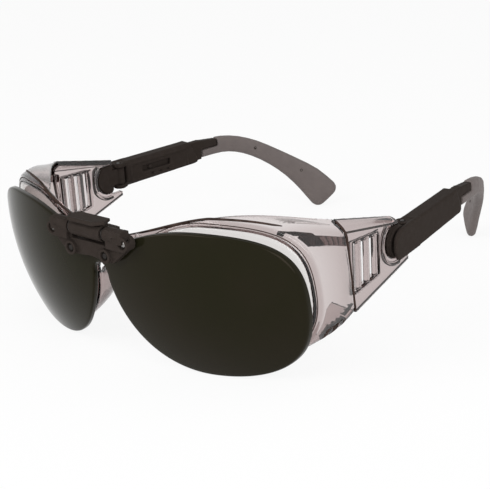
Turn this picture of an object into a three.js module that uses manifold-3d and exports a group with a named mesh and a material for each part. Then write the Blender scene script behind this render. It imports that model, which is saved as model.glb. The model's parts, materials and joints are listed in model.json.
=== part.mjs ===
// Flip-up welding spectacles: a deep clear frame with side shields, a dark visor on a
// bridge hinge, and temples that tilt, fold and telescope.
// Millimetres. +Z is up, +X is the wearer's left, +Y points to the back of the head.
import * as THREE from "three";
import { mergeVertices } from "three/addons/utils/BufferGeometryUtils.js";
import Module from "manifold-3d";

const wasm = await Module();
wasm.setup();

// Clearances
const CLEARANCE = 0.3; // between pieces that touch or slide
const RUNNING_GAP = 0.4; // around turning pieces

// Curved front: every shell is concentric with the visor's outer face
const FRONT_RADIUS = 91; // outer face of the visor
const LOBE_OFFSET = 11.75; // from the middle plane to each lobe's centre
const CURVE_HEIGHT = 39.4; // centres above the floor
const BRIDGE_BLEND = 3; // softens the crease between the two lobes

// Fullness of the rounded quarters in the outlines: 0.55 is an ellipse, and more is squarer
const VISOR_UPPER_FULLNESS = 0.75;
const VISOR_LOWER_FULLNESS = 0.68;
const RIM_UPPER_FULLNESS = 0.78;
const RIM_LOWER_FULLNESS = 0.62;
const RIM_NOSE_FULLNESS = 0.5;
const RIM_BROW_FULLNESS = 0.44;
const NOTCH_FULLNESS = 0.6;

// Dark visor
const VISOR_THICKNESS = 2.2;
const VISOR_TOP = 51.6;
const VISOR_TOP_X = 38;
const VISOR_OUTER = 69;
const VISOR_OUTER_Z = 28.5;
const VISOR_BOTTOM_X = 37;
const VISOR_INNER = 3.4; // half the nose notch, at VISOR_INNER_Z
const VISOR_INNER_Z = 31;
const VISOR_NOTCH_TOP = 36.3;
const VISOR_STRIP_TOP = 43.3; // upper edge of the strip between the lobes
const VISOR_STRIP_HALF = 6.5;

// Frame rims and clear lenses
const VISOR_GAP = 2.4; // visor's back to the rims
const RIM_DEPTH = 4.2;
const RIM_WIDTH = 2.7;
const BROW_WIDTH = 2.1; // rim above the eye openings
const OPENING_TOP = 52.3;
const OPENING_TOP_X = 38;
const OPENING_OUTER = 67.4;
const OPENING_OUTER_Z = 30;
const OPENING_BOTTOM = 4.6;
const OPENING_INNER = 8.6;
const OPENING_INNER_Z = 30;
const BRIDGE_TOP = 44.4;
const BRIDGE_BOTTOM = 36;
const LENS_THICKNESS = 2;
const LENS_LAP = 1; // lens edge held in the rim's groove

// Side walls of the frame and the side shields
const WALL = 2.2;
const WALL_SWELL = [1.4, 2.3, 1.7]; // outwards, up and down, between the rim and the joint
const SHELL_START = 0.23; // where the wall leaves the rim, as shares of its run from the bridge
const SHELL_CORNER = 0.42; // root of the wall's upper corner
const SHELL_END = 0.9;
const JOINT_Y = 44; // joint of frame and shield, at JOINT_MIDDLE
const JOINT_MIDDLE = 32.5;
const JOINT_LEAN = 0.13;
const JOINT_X = 69.3;
const JOINT_TOP = 46.4;
const JOINT_BOTTOM = 17.6;
const FLANGE_WIDTH = 4.6;
const FLANGE_RISE = 3.8; // inner edge of the upper flange above the corner
const LOWER_FLANGE_WIDTH = 9;
const LOWER_FLANGE_RISE = 1.3;
const CORNER_ROUND = 2.2;
const SHIELD_END_TOP = 41.2;
const SHIELD_END_BOTTOM = 26.2;
const SHIELD_END_FLANGE = 3.2;
const SHIELD_LENGTH = 33; // joint to the lower rear tip
const TENON_THICKNESS = 2;
const TENON_HEIGHT = 3.6;
const TENON_ROOT = 4; // length of the tenon's root on the shield
const TENON_MARGIN = 3.8; // lower tenon above the shield's lower edge
const TENON_REACH = 0.62; // share of the frame's wall that the tenons run along

// Louvre window, from the tilt pivot
const WINDOW_FRONT = -24;
const WINDOW_REAR = -10.2;
const WINDOW_TOP = 6.8;
const WINDOW_BOTTOM = -10.6;
const WINDOW_FALL = 0.8; // how much lower the upper edge ends at the rear
const WINDOW_CLIMB = 2.4; // how much higher the lower edge ends at the rear
const LOUVRES = 3; // slats in the outer row; the inner row covers the gaps between them
const LOUVRE_WIDTH = 3.3;
const LOUVRE_THICKNESS = 0.8;
const LOUVRE_LAP = 0.6; // slat ends let into the plate

// Nose wings
const WING_DEPTH = 9;
const WING_FLARE = 4.5;
const WING_THICKNESS = 1.8;
const WING_START = 0.5; // along the nose edge of the rim, from its bottom
const WING_END = 0.98;
const WING_END_DEPTH = 0.35; // share of the depth left at both ends

// Flip hinge
const FLIP_Y = -2.5;
const FLIP_Z = 48.5;
const BARREL_RADIUS = 2.75;
const BARREL_HALF = 7;
const KNUCKLE_RADIUS = 2.5;
const KNUCKLE_LENGTH = 4.2;
const PIN_RADIUS = 0.8;
const PIN_HEAD_RADIUS = 1.4;
const PIN_HEAD = 0.7;
const HEAD_TAPER = 0.75; // outer face of a pin or rivet head against its seat
const WASHER_THICKNESS = 0.6;
const WASHER_RADIUS = 2.2;
const CAP_HALF = 8.6;
const CAP_FRONT = -6.2;
const CAP_BACK = 0.7;
const CAP_THICKNESS = 1;
const CAP_CORNER = 3; // bevelled front corners
const FOOT_HALF = 4.9;
const FOOT_TOP = 47.6;
const FOOT_BOTTOM = 38.4;
const FOOT_PROUD = 1.4; // foot in front of the bridge's face
const FOOT_SINK = 1.5; // foot let into the bridge
const NECK_HALF = 6;
const NECK_BOTTOM = 45.2;
const SADDLE_SCREW_X = 2.6;
const SADDLE_SCREW_Z = 41.2;
const SCREW_RADIUS = 0.9;
const SCREW_HEAD_RADIUS = 1.8;
const SCREW_HEAD = 1;
const SCREW_GRIP = 2; // thread length in the saddle
const SCREW_SINK = 0.1; // head below the bridge's back
const SCREW_SLOT = 0.6;

// Bracket, bosses and rivets
const BRACKET_THICKNESS = 2.8;
const UPPER_BOSS_X = 16.2;
const UPPER_BOSS_Z = 46.6;
const LOWER_BOSS_X = 7.9;
const LOWER_BOSS_Z = 41.3;
const BOSS_RADIUS = 2.5;
const BOSS_HEIGHT = 4.6; // above the visor's face
const BOSS_RECESS = 1.2;
const ARM_MARGIN = 0.4; // arm beyond the upper boss's axis
const ARM_FRONT = -4.4; // flat front of the arms, level with the upper bosses
const ARM_RISE = 1.5; // top of the arms above the flip axis
const BRACKET_WAIST = 0.5; // upper edge of the bracket's strip above the lower bosses
const BRACKET_HOLLOW = 0.6; // rise of its lower edge in the middle
const POST_GAP = 0.45; // foot of the bosses to the visor's face
const RIVET_RADIUS = 1;
const RIVET_HEAD_RADIUS = 1.3;
const RIVET_HEAD = 0.7;
const RIVET_SEAT = 0.1; // between the head and the recess's floor
const RIVET_TAIL = 0.5;
const RIVET_WASHER = 0.6;
const RIVET_WASHER_RADIUS = 2.3;
const DETENT_BUMPS = 3;
const DETENT_RADIUS = 0.8;
const DETENT_PITCH = 1.7;

// Temples: the tilt pivot's place, and everything behind it in a frame turned by TOE_IN
const PIVOT_SETBACK = 7; // pivot in front of the shield's rear tip
const PIVOT_Y = JOINT_Y + SHIELD_LENGTH - PIVOT_SETBACK;
const PIVOT_Z = 34.8;
const TOE_IN = THREE.MathUtils.degToRad(7.7);
const DISC_RADIUS = 5.6;
const DISC_THICKNESS = 2.2;
const DISC_TONGUE = 0.7; // rim of the disc that runs in the socket's groove
const SOCKET_WALL = 1.6;
const SOCKET_DEPTH = 4.2;
const SOCKET_HALF_OPENING = THREE.MathUtils.degToRad(76);
const NECK_HEIGHT = 6.4;
const NECK_WIDTH = 2.6;
const FOLD_X = -0.9;
const FOLD_Y = 6.2;
const FOLD_KNUCKLE_RADIUS = 2.2;
const FOLD_PIN_RADIUS = 0.8;
const SLEEVE_OUTER = 3.2;
const SLEEVE_THICKNESS = 5.8;
const SLEEVE_HEIGHT = 10.6;
const SLEEVE_TOP_END = 38.4;
const SLEEVE_BOTTOM_END = 46.4;
const SLEEVE_ROOM = 1.5; // between the sleeve and the shield's lower strip, for the tilt
const SLEEVE_BEVEL = 0.7;
const SLEEVE_LIFT = 1; // rise of the lower edge towards the rear
const SLEEVE_SHOULDER = 4; // length of the sloping rear upper corner
const SLEEVE_END_ROUND = 2;
const EAR_SETBACK = 0.2; // fold ears and pin below the sleeve's upper and lower faces
const SLEEVE_CHAMFER = 2; // inner lower edge
const COVER_THICKNESS = 1.5;
const COVER_FRONT = -6.2;
const COVER_BEVEL = 0.45;
const COVER_LOWER_ROUND = 2.4;
const COVER_UPPER_ROUND = 6.6;
const COVER_LAP = 3; // cover let into the sleeve's body
const BODY_FRONT = 9;
const SLIDER_THICKNESS = 3;
const SLIDER_HEIGHT = 8;
const SLIDER_RISE = 0.4; // slider's middle above the pivot
const SLIDER_FRONT = 15;
const SLIDER_END = 49.2;
const TONGUE_END = 58;
const TONGUE_HEIGHT = 4;
const TONGUE_DROP = 1.1; // fall of the tongue's upper edge
const CORE_END = 63.5;
const CORE_HEIGHT = 1.4;
const CORE_THICKNESS = 1.6;
const TRAVEL_IN = 3;
const TRAVEL_OUT = 9;
const PEG_Y = 21;
const PEG_RADIUS = 0.9;
const PEG_SETBACK = 0.2; // end of the peg below the sleeve's inner face
const NOTCHES = 3;
const NOTCH_PITCH = 4;
const NOTCH_RADIUS = 1.1;
const NOTCH_DEPTH = 0.8;
const TIP_THICKNESS = 4;
const TIP_WIDTH = 7.2;
const TIP_HEIGHT = 35.3; // front of the tip's middle line above the floor
const TIP_DROP = 29.7; // fall of the middle line to its end
const TEMPLE_REACH = 103.4; // pivot to the end of the tip's middle line
const TIP_CURL = 18.5; // inward bend at the end
const TIP_CURL_START = 56;
const TIP_END_ROUND = 3.4;
const TIP_END_TURNS = [0.35, 0.65, 0.9]; // sections of the rounded end, as shares of a right angle
const TIP_SQUARENESS = 0.6; // 1 is a round section, and less is squarer

// Fineness of the facets
const CURVE_STEPS = 6;
const ROUND_SIDES = 22;
const SMALL_ROUND = 3; // radius under which a round piece has fewer sides
const SMALL_ROUND_SIDES = 12;
const PATCH_STEP = 8;
const WALL_GRID = [36, 5];
const SHIELD_GRID = [14, 3];
const TENON_GRID = [4, 4];
const WING_GRID = [8, 3];
const TIP_SECTIONS = 14;
const TIP_SIDES = 12;

// Building solids
const BEYOND = 60; // reach of a cutting solid past the piece that it cuts
const LAP = 1; // overlap of solids that are joined or cut at a shared face

// Solids and geometry

// A closed solid from a geometry whose shared corners are merged.
function solidFrom(geometry) {
  const bare = new THREE.BufferGeometry();
  bare.setAttribute("position", geometry.getAttribute("position"));
  bare.setIndex(geometry.index);
  const merged = mergeVertices(bare, 1e-4);
  const corners = merged.index.array;
  const triangles = [];
  for (let i = 0; i < corners.length; i += 3) {
    const [a, b, c] = corners.slice(i, i + 3);
    if (a !== b && b !== c && c !== a) triangles.push(a, b, c);
  }
  return new wasm.Manifold(
    new wasm.Mesh({
      numProp: 3,
      vertProperties: new Float32Array(merged.getAttribute("position").array),
      triVerts: new Uint32Array(triangles),
    }),
  );
}

// The geometry of a solid, with flat facets.
function geometryFrom(solid) {
  const { numProp, vertProperties, triVerts } = solid.getMesh();
  const positions = [];
  for (let i = 0; i < vertProperties.length; i += numProp) {
    positions.push(...vertProperties.slice(i, i + 3));
  }
  const geometry = new THREE.BufferGeometry();
  geometry.setAttribute("position", new THREE.Float32BufferAttribute(positions, 3));
  geometry.setIndex(Array.from(triVerts));
  const facets = geometry.toNonIndexed();
  facets.computeVertexNormals();
  return facets;
}

const join = (first, ...others) => others.reduce((whole, piece) => whole.add(piece), first);
const cut = (first, ...others) => others.reduce((whole, piece) => whole.subtract(piece), first);

// A shape swept straight along an axis: its own x and y are the two other axes in order
// (Y and Z for "x", X and Z for "y", X and Y for "z").
function prism(axis, shape, from, to, bevel = 0) {
  const geometry = new THREE.ExtrudeGeometry(shape, {
    depth: to - from - 2 * bevel,
    curveSegments: CURVE_STEPS,
    bevelEnabled: bevel > 0,
    bevelSize: bevel,
    bevelOffset: -bevel,
    bevelThickness: bevel,
    bevelSegments: 2,
  });
  if (axis === "y") {
    geometry.translate(0, 0, bevel - to).rotateX(Math.PI / 2);
  } else {
    geometry.translate(0, 0, from + bevel);
  }
  if (axis === "x") {
    const [x, y, z] = [new THREE.Vector3(1, 0, 0), new THREE.Vector3(0, 1, 0), new THREE.Vector3(0, 0, 1)];
    geometry.applyMatrix4(new THREE.Matrix4().makeBasis(y, z, x));
  }
  return solidFrom(geometry);
}

// A round rod along an axis, centred on (a, b) of the two other axes in order.
function rod(axis, radius, from, to, a, b, endRadius = radius) {
  const sides = radius < SMALL_ROUND ? SMALL_ROUND_SIDES : ROUND_SIDES;
  const geometry = new THREE.CylinderGeometry(endRadius, radius, to - from, sides);
  const middle = (from + to) / 2;
  if (axis === "x") geometry.rotateZ(-Math.PI / 2).translate(middle, a, b);
  if (axis === "y") geometry.translate(a, middle, b);
  if (axis === "z") geometry.rotateX(Math.PI / 2).translate(a, b, middle);
  return solidFrom(geometry);
}

// A box between two corners.
function box(x0, x1, y0, y1, z0, z1) {
  const geometry = new THREE.BoxGeometry(x1 - x0, y1 - y0, z1 - z0);
  geometry.translate((x0 + x1) / 2, (y0 + y1) / 2, (z0 + z1) / 2);
  return solidFrom(geometry);
}

// The closed solid between two faces, each a function of u and v from 0 to 1.
function between(front, back, columns, rows) {
  const positions = [];
  for (const face of [front, back])
    for (let j = 0; j <= rows; j++)
      for (let i = 0; i <= columns; i++) positions.push(...face(i / columns, j / rows).toArray());
  const stride = columns + 1;
  const backStart = stride * (rows + 1);
  const index = [];
  const quad = (a, b, c, d) => index.push(a, b, c, a, c, d);
  for (let j = 0; j < rows; j++)
    for (let i = 0; i < columns; i++) {
      const a = j * stride + i;
      const b = a + backStart;
      quad(a, a + 1, a + stride + 1, a + stride);
      quad(b, b + stride, b + stride + 1, b + 1);
    }
  for (let i = 0; i < columns; i++) {
    const top = rows * stride + i;
    quad(i, i + backStart, i + backStart + 1, i + 1);
    quad(top, top + 1, top + backStart + 1, top + backStart);
  }
  for (let j = 0; j < rows; j++) {
    const left = j * stride;
    const right = left + columns;
    quad(left, left + stride, left + stride + backStart, left + backStart);
    quad(right, right + backStart, right + stride + backStart, right + stride);
  }
  return closedFacingOut(positions, index);
}

// A solid from corners and triangles, turned inside out if its faces point inwards.
function closedFacingOut(positions, index) {
  const corner = (i) => new THREE.Vector3().fromArray(positions, 3 * i);
  let volume = 0;
  for (let i = 0; i < index.length; i += 3) {
    const [a, b, c] = index.slice(i, i + 3).map(corner);
    volume += a.dot(b.cross(c));
  }
  const geometry = new THREE.BufferGeometry();
  geometry.setAttribute("position", new THREE.Float32BufferAttribute(positions, 3));
  geometry.setIndex(volume > 0 ? index : [...index].reverse());
  return solidFrom(geometry);
}

// A sheet over a surface, from one depth to another below its outer face. The product
// du x dv points inwards when sense is 1, and outwards when it is -1.
function sheet(surface, [columns, rows], sense, from, to) {
  const STEP = 1e-3;
  const face = (depth) => (u, v) => {
    const du = surface(u + STEP, v).sub(surface(u - STEP, v));
    const dv = surface(u, v + STEP).sub(surface(u, v - STEP));
    return surface(u, v).addScaledVector(du.cross(dv).normalize(), sense * depth);
  };
  return between(face(from), face(to), columns, rows);
}

// A closed solid through a row of rings with the same number of corners.
function loft(rings) {
  const count = rings[0].length;
  const positions = rings.flat().flatMap((p) => p.toArray());
  const index = [];
  for (let r = 0; r + 1 < rings.length; r++)
    for (let i = 0; i < count; i++) {
      const a = r * count + i;
      const b = r * count + ((i + 1) % count);
      index.push(a, b, b + count, a, b + count, a + count);
    }
  const last = (rings.length - 1) * count;
  for (let i = 1; i + 1 < count; i++) {
    index.push(0, i + 1, i);
    index.push(last, last + i, last + i + 1);
  }
  return closedFacingOut(positions, index);
}

// Shape from corners written as [a, b] pairs.
const polygon = (...corners) => new THREE.Shape(corners.map(([a, b]) => new THREE.Vector2(a, b)));

// Front outlines, in X and Z

// Adds a rounded quarter from the path's present point: it leaves level or upright and
// arrives the other way.
function quarter(path, x, z, leavesLevel, fullness) {
  const { x: x0, y: z0 } = path.currentPoint;
  const alongX = (x - x0) * fullness;
  const alongZ = (z - z0) * fullness;
  if (leavesLevel) path.bezierCurveTo(x0 + alongX, z0, x, z - alongZ, x, z);
  else path.bezierCurveTo(x0, z0 + alongZ, x - alongX, z, x, z);
}

// The full outline of a half one that runs from the top of the middle plane to its bottom.
function mirrored(half) {
  const points = half.getPoints(CURVE_STEPS);
  const others = points.slice(1, -1).reverse();
  return new THREE.Shape([...points, ...others.map((p) => new THREE.Vector2(-p.x, p.y))]);
}

function visorOutline() {
  const half = new THREE.Path();
  half.moveTo(0, VISOR_STRIP_TOP);
  half.lineTo(VISOR_STRIP_HALF, VISOR_STRIP_TOP);
  const strip = VISOR_TOP_X - VISOR_STRIP_HALF;
  const rise = VISOR_TOP - VISOR_STRIP_TOP;
  half.bezierCurveTo(
    VISOR_STRIP_HALF + strip * 0.15,
    VISOR_STRIP_TOP + rise * 0.12,
    VISOR_STRIP_HALF + strip * 0.49,
    VISOR_TOP,
    VISOR_TOP_X,
    VISOR_TOP,
  );
  quarter(half, VISOR_OUTER, VISOR_OUTER_Z, true, VISOR_UPPER_FULLNESS);
  quarter(half, VISOR_BOTTOM_X, 0, false, VISOR_LOWER_FULLNESS);
  half.bezierCurveTo(
    VISOR_BOTTOM_X * 0.43,
    0,
    VISOR_INNER * 1.9,
    VISOR_INNER_Z * 0.55,
    VISOR_INNER,
    VISOR_INNER_Z,
  );
  quarter(half, 0, VISOR_NOTCH_TOP, false, NOTCH_FULLNESS);
  return mirrored(half);
}

// The eye opening grown by a margin, on the left side.
function eyeOutline(margin) {
  const path = new THREE.Shape();
  path.moveTo(OPENING_TOP_X, OPENING_TOP + margin);
  quarter(path, OPENING_OUTER + margin, OPENING_OUTER_Z, true, RIM_UPPER_FULLNESS);
  quarter(path, OPENING_TOP_X, OPENING_BOTTOM - margin, false, RIM_LOWER_FULLNESS);
  quarter(path, OPENING_INNER - margin, OPENING_INNER_Z, true, RIM_NOSE_FULLNESS);
  quarter(path, OPENING_TOP_X, OPENING_TOP + margin, false, RIM_BROW_FULLNESS);
  return path;
}

// The outer edge of the rims from the bridge over the brow and the outer side to the bottom.
function rimRun() {
  const path = new THREE.Path();
  const top = OPENING_TOP + BROW_WIDTH;
  const rise = top - BRIDGE_TOP;
  path.moveTo(0, BRIDGE_TOP);
  path.bezierCurveTo(
    OPENING_TOP_X * 0.32,
    BRIDGE_TOP + rise * 0.08,
    OPENING_TOP_X * 0.74,
    top - rise * 0.13,
    OPENING_TOP_X,
    top,
  );
  quarter(path, OPENING_OUTER + RIM_WIDTH, OPENING_OUTER_Z, true, RIM_UPPER_FULLNESS);
  quarter(path, OPENING_TOP_X, OPENING_BOTTOM - RIM_WIDTH, false, RIM_LOWER_FULLNESS);
  return path;
}

function frameOutline() {
  const half = rimRun();
  quarter(half, OPENING_INNER - RIM_WIDTH, OPENING_INNER_Z, true, RIM_NOSE_FULLNESS);
  quarter(half, 0, BRIDGE_BOTTOM, false, NOTCH_FULLNESS);
  return mirrored(half);
}

// Curved shells

// Depth of the shell that lies inset behind the visor's outer face.
function shellDepth(x, z, inset) {
  const across = Math.sqrt(x * x + BRIDGE_BLEND * BRIDGE_BLEND) - LOBE_OFFSET;
  const up = z - CURVE_HEIGHT;
  const radius = FRONT_RADIUS - inset;
  return FRONT_RADIUS - Math.sqrt(radius * radius - across * across - up * up);
}

// A curved plate between two insets, cut to an outline of the front.
function curvedPlate(shape, from, to) {
  const extent = new THREE.Box2().setFromPoints(shape.getPoints(CURVE_STEPS)).expandByScalar(LAP);
  const size = extent.getSize(new THREE.Vector2());
  const face = (inset) => (u, v) => {
    const x = extent.min.x + size.x * u;
    const z = extent.min.y + size.y * v;
    return new THREE.Vector3(x, shellDepth(x, z, inset), z);
  };
  const columns = 2 * Math.ceil(size.x / 2 / PATCH_STEP);
  const rows = Math.ceil(size.y / PATCH_STEP);
  const blank = between(face(from), face(to), columns, rows);
  return blank.intersect(prism("y", shape, -FRONT_RADIUS, FRONT_RADIUS));
}

const rimFront = VISOR_THICKNESS + VISOR_GAP;
const rimBack = rimFront + RIM_DEPTH;
const lensFront = rimFront + (RIM_DEPTH - LENS_THICKNESS) / 2;
const lensBack = lensFront + LENS_THICKNESS;

// Joint of the side wall and the shield

const jointDepth = (z) => JOINT_Y + JOINT_LEAN * (JOINT_MIDDLE - z);

// Outline of a channel: upper flange, rounded corner and side.
function channelPath(x, top, bottom, flange, rise) {
  const path = new THREE.Path();
  path.moveTo(x - flange, top + rise);
  path.lineTo(x - CORNER_ROUND, top + rise * (CORNER_ROUND / flange));
  path.quadraticCurveTo(x, top, x, top - CORNER_ROUND);
  path.lineTo(x, bottom);
  return path;
}

// Everything behind the joint's leaning plane, a gap away from it.
function behindJoint(gap) {
  const [low, high, rear] = [JOINT_MIDDLE - BEYOND, JOINT_MIDDLE + BEYOND, JOINT_Y + 2 * BEYOND];
  const plane = (z) => [jointDepth(z) + gap, z];
  const side = polygon(plane(low), [rear, low], [rear, high], plane(high));
  return prism("x", side, -JOINT_X - BEYOND, JOINT_X + BEYOND);
}

const clampShare = (share) => Math.min(1, Math.max(0, share));

const shieldEdge = channelPath(JOINT_X, JOINT_TOP, JOINT_BOTTOM, FLANGE_WIDTH, FLANGE_RISE);

// The frame's wall has a lower flange too.
const wallEdge = channelPath(JOINT_X, JOINT_TOP, JOINT_BOTTOM + CORNER_ROUND, FLANGE_WIDTH, FLANGE_RISE);
wallEdge.quadraticCurveTo(
  JOINT_X,
  JOINT_BOTTOM,
  JOINT_X - CORNER_ROUND,
  JOINT_BOTTOM + LOWER_FLANGE_RISE * (CORNER_ROUND / LOWER_FLANGE_WIDTH),
);
wallEdge.lineTo(JOINT_X - LOWER_FLANGE_WIDTH, JOINT_BOTTOM + LOWER_FLANGE_RISE);

// Outer face of the frame's side wall: u from the brow to the lower flange, v rearwards.
// The roof over the brow runs together into the short upper flange.
function wallSurface() {
  const { lerp } = THREE.MathUtils;
  const rim = rimRun();
  const rootInset = rimFront + CLEARANCE;
  const corner = wallEdge.getCurveLengths()[0] / wallEdge.getLength();
  const rootShare = (u) =>
    u < corner
      ? lerp(SHELL_START, SHELL_CORNER, u / corner)
      : lerp(SHELL_CORNER, SHELL_END, (u - corner) / (1 - corner));
  return (u, v) => {
    const from = rim.getPointAt(rootShare(clampShare(u)));
    const to = wallEdge.getPointAt(clampShare(u));
    const point = new THREE.Vector3(from.x, shellDepth(from.x, from.y, rootInset), from.y);
    point.lerp(new THREE.Vector3(to.x, jointDepth(to.y), to.y), v);
    const away = new THREE.Vector2(point.x - OPENING_TOP_X, point.z - JOINT_MIDDLE).normalize();
    const swell = 4 * v * (1 - v);
    const [outwards, up, down] = WALL_SWELL;
    point.x += outwards * swell * away.x;
    point.z += (away.y > 0 ? up : down) * swell * away.y;
    return point;
  };
}

// Outer face of the side shield: u from its upper flange to its lower edge, v rearwards.
function shieldSurface() {
  const end = channelPath(JOINT_X, SHIELD_END_TOP, SHIELD_END_BOTTOM, SHIELD_END_FLANGE, 0);
  return (u, v) => {
    const from = shieldEdge.getPointAt(clampShare(u));
    const to = end.getPointAt(clampShare(u));
    const start = new THREE.Vector3(from.x, jointDepth(from.y) + CLEARANCE, from.y);
    return start.lerp(new THREE.Vector3(to.x, JOINT_Y + SHIELD_LENGTH, to.y), v);
  };
}

// The part of a surface between two shares of u and of v.
const patchOf = (surface, u0, u1, v0, v1) => (u, v) => surface(u0 + (u1 - u0) * u, v0 + (v1 - v0) * v);

// The tilt pivot lies on the outer face of the shield's plate.
const atPivot = (solid) => solid.translate([JOINT_X, PIVOT_Y, PIVOT_Z]);

// Front frame

// Outline of the hinge saddle's foot, grown by a margin.
function footOutline(margin) {
  const half = FOOT_HALF + margin;
  const low = FOOT_BOTTOM - margin;
  const high = FOOT_TOP + margin;
  return polygon([-half, low], [half, low], [half, high], [-half, high]);
}

const screwBack = shellDepth(SADDLE_SCREW_X, SADDLE_SCREW_Z, rimBack);

function noseWing() {
  const edge = new THREE.Path();
  edge.moveTo(OPENING_TOP_X, OPENING_BOTTOM - RIM_WIDTH);
  quarter(edge, OPENING_INNER - RIM_WIDTH, OPENING_INNER_Z, true, RIM_NOSE_FULLNESS);
  const surface = (u, v) => {
    const { x, y: z } = edge.getPointAt(clampShare(WING_START + (WING_END - WING_START) * u));
    const share = WING_END_DEPTH + (1 - WING_END_DEPTH) * Math.sin(Math.PI * u);
    const reach = WING_DEPTH * share;
    return new THREE.Vector3(
      x + WING_FLARE * v * v,
      shellDepth(x, z, rimFront + CLEARANCE) + (reach + RIM_DEPTH) * v,
      z,
    );
  };
  return sheet(surface, WING_GRID, -1, 0, WING_THICKNESS);
}

function mirrorX(solid) {
  const { vertProperties, triVerts } = solid.getMesh();
  const positions = Array.from(vertProperties, (value, i) => (i % 3 === 0 ? -value : value));
  return closedFacingOut(positions, Array.from(triVerts));
}

const bothSides = (solid) => [solid, mirrorX(solid)];

function frontFrame() {
  const opening = prism("y", eyeOutline(0), -FRONT_RADIUS, FRONT_RADIUS);
  const rims = cut(curvedPlate(frameOutline(), rimFront, rimBack), ...bothSides(opening));
  const wall = cut(sheet(wallSurface(), WALL_GRID, -1, 0, WALL), behindJoint(0));
  const groove = curvedPlate(
    eyeOutline(LENS_LAP + CLEARANCE),
    lensFront - CLEARANCE,
    lensBack + CLEARANCE,
  );
  const pocket = curvedPlate(footOutline(CLEARANCE), 0, rimFront + FOOT_SINK + CLEARANCE);
  const hole = join(
    rod("y", SCREW_RADIUS + CLEARANCE, 0, screwBack + LAP, SADDLE_SCREW_X, SADDLE_SCREW_Z),
    rod(
      "y",
      SCREW_HEAD_RADIUS + CLEARANCE,
      screwBack - SCREW_HEAD - CLEARANCE,
      screwBack + RIM_DEPTH,
      SADDLE_SCREW_X,
      SADDLE_SCREW_Z,
    ),
  );
  const shape = join(rims, ...bothSides(wall), ...bothSides(noseWing()));
  return cut(shape, pocket, ...bothSides(groove), ...bothSides(hole));
}

function clearLens() {
  return curvedPlate(eyeOutline(LENS_LAP), lensFront, lensBack);
}

// Side shield

// Outline of the louvre window, grown up and down by a margin.
function windowOutline(margin) {
  return polygon(
    [WINDOW_FRONT, WINDOW_BOTTOM - margin],
    [WINDOW_REAR, WINDOW_BOTTOM + WINDOW_CLIMB - margin],
    [WINDOW_REAR, WINDOW_TOP - WINDOW_FALL + margin],
    [WINDOW_FRONT, WINDOW_TOP + margin],
  );
}

// Upright slats across the window. The inner row covers the gaps of the outer one, so that
// air passes and splashes don't.
function louvres() {
  const inWindow = prism("x", windowOutline(LOUVRE_LAP), -BEYOND, BEYOND);
  const pitch = (WINDOW_REAR - WINDOW_FRONT) / LOUVRES;
  const row = (outer, shares) =>
    shares.map((share) => {
      const y = WINDOW_FRONT + pitch * share;
      const half = LOUVRE_WIDTH / 2;
      const slat = box(outer - LOUVRE_THICKNESS, outer, y - half, y + half, -BEYOND, BEYOND);
      return slat.intersect(inWindow);
    });
  const places = Array.from({ length: LOUVRES }, (_, i) => i);
  return [
    ...row(0, places.map((i) => i + 0.5)),
    ...row(LOUVRE_THICKNESS - WALL, [...places, LOUVRES]),
  ];
}

// A tenon on the shield that runs forwards inside the frame's wall. Its place is the
// length along the joint from the upper flange's inner edge.
function tenon(place) {
  const depth = WALL + CLEARANCE;
  const shares = (edge) => [place / edge.getLength(), (place + TENON_HEIGHT) / edge.getLength()];
  const onWall = patchOf(wallSurface(), ...shares(wallEdge), 1 - TENON_REACH, 1 + TENON_REACH / 10);
  const onShield = patchOf(shieldSurface(), ...shares(shieldEdge), 0, TENON_ROOT / SHIELD_LENGTH);
  return join(
    sheet(onWall, TENON_GRID, -1, depth, depth + TENON_THICKNESS),
    sheet(onShield, TENON_GRID, -1, WALL / 2, depth + TENON_THICKNESS).intersect(behindJoint(CLEARANCE)),
  );
}

const socketInner = DISC_RADIUS + CLEARANCE;
const socketOuter = socketInner + DISC_TONGUE + SOCKET_WALL;
const socketMiddle = -WALL / 2;

// The C-shaped socket that the hinge block's disc turns in, open to the rear.
function socket() {
  const half = SOCKET_DEPTH / 2;
  const reach = 2 * socketOuter;
  const ring = rod("x", socketOuter, socketMiddle - half, socketMiddle + half, 0, 0);
  const tangent = Math.tan(SOCKET_HALF_OPENING);
  const mouth = polygon([0, 0], [reach, -reach * tangent], [reach, reach * tangent]);
  return cut(ring, prism("x", mouth, socketMiddle - half - LAP, socketMiddle + half + LAP));
}

function discSpace() {
  const groove = DISC_THICKNESS / 4 + CLEARANCE;
  return join(
    rod("x", socketInner, -BEYOND, BEYOND, 0, 0),
    rod("x", socketInner + DISC_TONGUE, socketMiddle - groove, socketMiddle + groove, 0, 0),
  );
}

// Room behind the socket for the sleeve and the block, down to the shield's lower strip.
function sleeveRoom() {
  const low = -SLEEVE_HEIGHT / 2 - SLEEVE_ROOM;
  const tangent = Math.tan(SOCKET_HALF_OPENING);
  const side = polygon(
    [0, 0],
    [-low / tangent, low],
    [BEYOND, low],
    [BEYOND, BEYOND],
    [BEYOND / tangent, BEYOND],
  );
  return prism("x", side, -BEYOND, BEYOND);
}

function sideShield() {
  const plate = sheet(shieldSurface(), SHIELD_GRID, -1, 0, WALL).intersect(behindJoint(CLEARANCE));
  const window = prism("x", windowOutline(0), -SOCKET_DEPTH, SOCKET_DEPTH);
  const [, cornerEnd] = shieldEdge.getCurveLengths();
  const whole = join(
    cut(plate, atPivot(window)),
    ...louvres().map(atPivot),
    atPivot(socket()),
    tenon(cornerEnd),
    tenon(shieldEdge.getLength() - TENON_MARGIN - TENON_HEIGHT),
  );
  return cut(whole, atPivot(discSpace()), atPivot(sleeveRoom()));
}

// Flip hinge

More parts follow.
